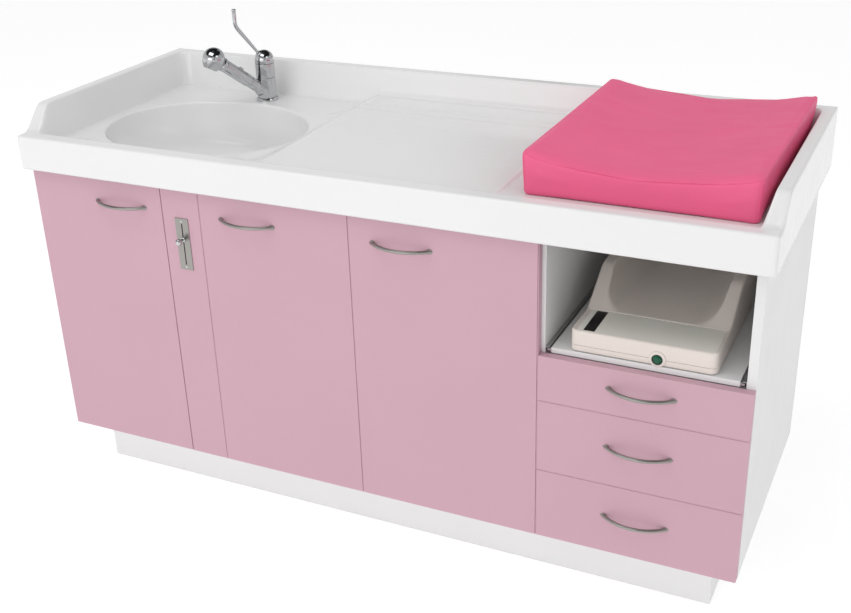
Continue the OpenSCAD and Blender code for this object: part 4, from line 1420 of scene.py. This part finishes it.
    def build(self, shop: Workshop) -> None:
        """Makes the mat and its welds."""
        low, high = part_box("changing_mat")
        left, right, deep = (MM * grow for grow in self.grown)
        low, high = low - Vector((left, deep, 0)), high + Vector((right, deep, 0))
        made = self.block(low, high)
        self.puff(made, low.z)
        made.name = made.data.name = "mat_cover"
        made.data.shade_smooth()
        made.data.materials.clear()
        made.data.materials.append(shop.materials["pink_vinyl"])
        smooth = made.modifiers.new("ease", "SMOOTH")
        smooth.factor, smooth.iterations = 0.5, 2
        fine = made.modifiers.new("fine", "SUBSURF")
        fine.levels = fine.render_levels = 1
        self.apply(made)
        made.data.shade_smooth()
        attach(made, "mat")
        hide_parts("changing_mat")
        LOG.info("mat_cover: %d faces", len(made.data.polygons))
        seams = self.seams(made, low, high)
        shop.piece("mat_welds", seams, "pink_vinyl", "mat", in_metres=True)


# ------------------------------------------------------------------ studio


@dataclass
class Studio:
    """Camera, lights and floor."""

    eye: Point3 = (2035.9, -2039.0, 1721.5)
    down_deg: float = 25.49
    left_deg: float = 25.82
    roll_deg: float = -1.87
    lens: float = 50.87
    fill: float = 0.70
    floor_glow: float = 0.36
    bands: tuple[Point2, ...] = (
        (0.0, 0.8), (0.52, 0.62), (0.58, 0.10), (0.66, 0.02), (0.97, 0.02), (1.0, 0.10))
    cards: tuple[Point2, ...] = (
        (0.0, 1.0), (1.0, 0.8), (0.30, 1.0), (0.34, 0.15), (0.38, 1.0), (0.52, 0.9),
        (0.56, 0.25), (0.62, 1.0), (0.76, 1.0), (0.80, 0.2), (0.86, 0.9))
    lamps: tuple[tuple[str, Point3, Point3, Point2, float], ...] = (
        ("front_panel", (-0.9, -4.4, 1.8), (0, 0, 0.5), (3.4, 1.6), 32),
        ("top_panel", (-0.7, -1.3, 3.5), (-0.5, 0.1, 0.9), (2.2, 1.4), 20),
        ("right_top_panel", (2.9, -0.9, 3.3), (0.7, 0, 0.9), (1.4, 1.2), 6),
    )

    def camera(self, datum: Datum) -> None:
        """Sets the camera."""
        data = bpy.data.cameras.new("camera")
        data.lens, data.sensor_width = self.lens, 36
        data.clip_start, data.clip_end = 0.05, 100
        made = bpy.data.objects.new("camera", data)
        turn = (
            Matrix.Rotation(math.radians(self.left_deg), 4, "Z")
            @ Matrix.Rotation(math.radians(90 - self.down_deg), 4, "X")
            @ Matrix.Rotation(math.radians(self.roll_deg), 4, "Z"))
        made.matrix_world = Matrix.Translation(datum.at(*self.eye)) @ turn
        bpy.context.scene.collection.objects.link(made)
        bpy.context.scene.camera = made

    @staticmethod
    def lamp(name: str, at: Point3, aim: Point3, size: Point2, power: float) -> None:
        """Hangs one soft panel of light.

        Args:
            name: The lamp's name.
            at: Where it hangs.
            aim: What it points at.
            size: Its width and height in metres.
            power: Watts.
        """
        data = bpy.data.lights.new(name, "AREA")
        data.shape, data.size, data.size_y, data.energy = "RECTANGLE", size[0], size[1], power
        made = bpy.data.objects.new(name, data)
        made.location = at
        made.rotation_euler = (Vector(aim) - Vector(at)).to_track_quat("-Z", "Y").to_euler()
        bpy.context.scene.collection.objects.link(made)

    def light(self) -> None:
        """Lights the studio evenly, a little more from the front."""
        world = bpy.data.worlds.new("studio")
        world.use_nodes = True
        world.node_tree.nodes.clear()
        desk = NodeDesk(world.node_tree)
        seen = desk.add("ShaderNodeLightPath").outputs["Is Camera Ray"]
        plain = desk.add("ShaderNodeBackground", {"Color": (1, 1, 1, 1), "Strength": 1.0})
        soft = desk.add("ShaderNodeBackground", {"Color": (1, 1, 1, 1), "Strength": self.fill})
        parts = desk.add("ShaderNodeSeparateXYZ", {
            0: desk.add("ShaderNodeTexCoord").outputs["Generated"]})
        bands = desk.ramp(parts.outputs["Z"], self.bands)
        across = desk.math("MULTIPLY_ADD", parts.outputs["X"], 0.5, 0.5)
        cards = desk.ramp(across, self.cards)
        seen_in = desk.add("ShaderNodeMix", {0: 1.0, 6: bands, 7: cards},
                           data_type="RGBA", blend_type="MULTIPLY")
        studio = desk.add("ShaderNodeBackground", {"Color": seen_in.outputs[2]})
        gloss = desk.add("ShaderNodeLightPath").outputs["Is Glossy Ray"]
        lit = desk.add("ShaderNodeMixShader", {0: gloss, 1: soft.outputs[0],
                                               2: studio.outputs[0]})
        mixed = desk.add("ShaderNodeMixShader", {
            0: seen, 1: lit.outputs[0], 2: plain.outputs[0]})
        desk.add("ShaderNodeOutputWorld", {"Surface": mixed.outputs[0]})
        bpy.context.scene.world = world
        for lamp in self.lamps:
            self.lamp(*lamp)

    def floor(self) -> None:
        """Lays the pale floor."""
        bm = bmesh.new()
        bmesh.ops.create_grid(bm, x_segments=1, y_segments=1, size=14)
        mesh = bpy.data.meshes.new("studio_floor")
        bm.to_mesh(mesh)
        bm.free()
        made = bpy.data.materials.new("pale_floor")
        made.use_nodes = True
        shader = made.node_tree.nodes["Principled BSDF"]
        shader.inputs["Base Color"].default_value = (0.9, 0.9, 0.9, 1)
        shader.inputs["Roughness"].default_value = 0.6
        shader.inputs["Emission Color"].default_value = (1, 1, 1, 1)
        shader.inputs["Emission Strength"].default_value = self.floor_glow
        mesh.materials.append(made)
        floor = bpy.data.objects.new("studio_floor", mesh)
        bpy.context.scene.collection.objects.link(floor)


@dataclass
class Cabinet:
    """The boards, fronts and fittings that keep their CAD shape."""

    edges: dict[str, float] = field(default_factory=lambda: {
        "white_board": 0.8, "pink_laminate": 0.7, "white_plastic": 0.6, "cream_plastic": 4.0,
        "brushed_steel": 0.3, "grey_film": 0.4, "display_window": 0.4, "zinc": 0.0,
    })

    def build(self, shop: Workshop) -> None:
        """Dresses every CAD node."""
        for node, slot in shop.slots.items():
            shop.dress(node, self.edges.get(slot, 0.0), 3 if slot == "cream_plastic" else 2)
        for node, body in (
            ("door_left_handle", "left_door"), ("door_middle_handle", "middle_door"),
            ("door_right_handle", "right_door"), ("drawer_top_handle", "top_drawer"),
            ("drawer_middle_handle", "middle_drawer"), ("drawer_bottom_handle", "bottom_drawer"),
        ):
            BowHandle(node, body).build(shop)
        # Pink strips in the joints between the fronts: painted light where the joints fall into
        # shade.
        JointLightStrips().build(shop)


def main() -> None:
    """Builds the unit's looks in order."""
    logging.basicConfig(level=logging.INFO, format="%(message)s", stream=sys.stdout)
    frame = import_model()
    shop = Workshop(frame)
    studio = Studio()
    studio.camera(shop.datum)
    studio.light()
    studio.floor()
    Cabinet().build(shop)
    Worktop().build(shop)
    Mixer().build(shop)
    BasinFittings().build(shop)
    BabyScale().build(shop)
    ChangingMat().build(shop)
    bpy.context.scene.view_settings.view_transform = "Standard"
    bpy.context.view_layer.update()


if __name__ == "__main__":
    main()
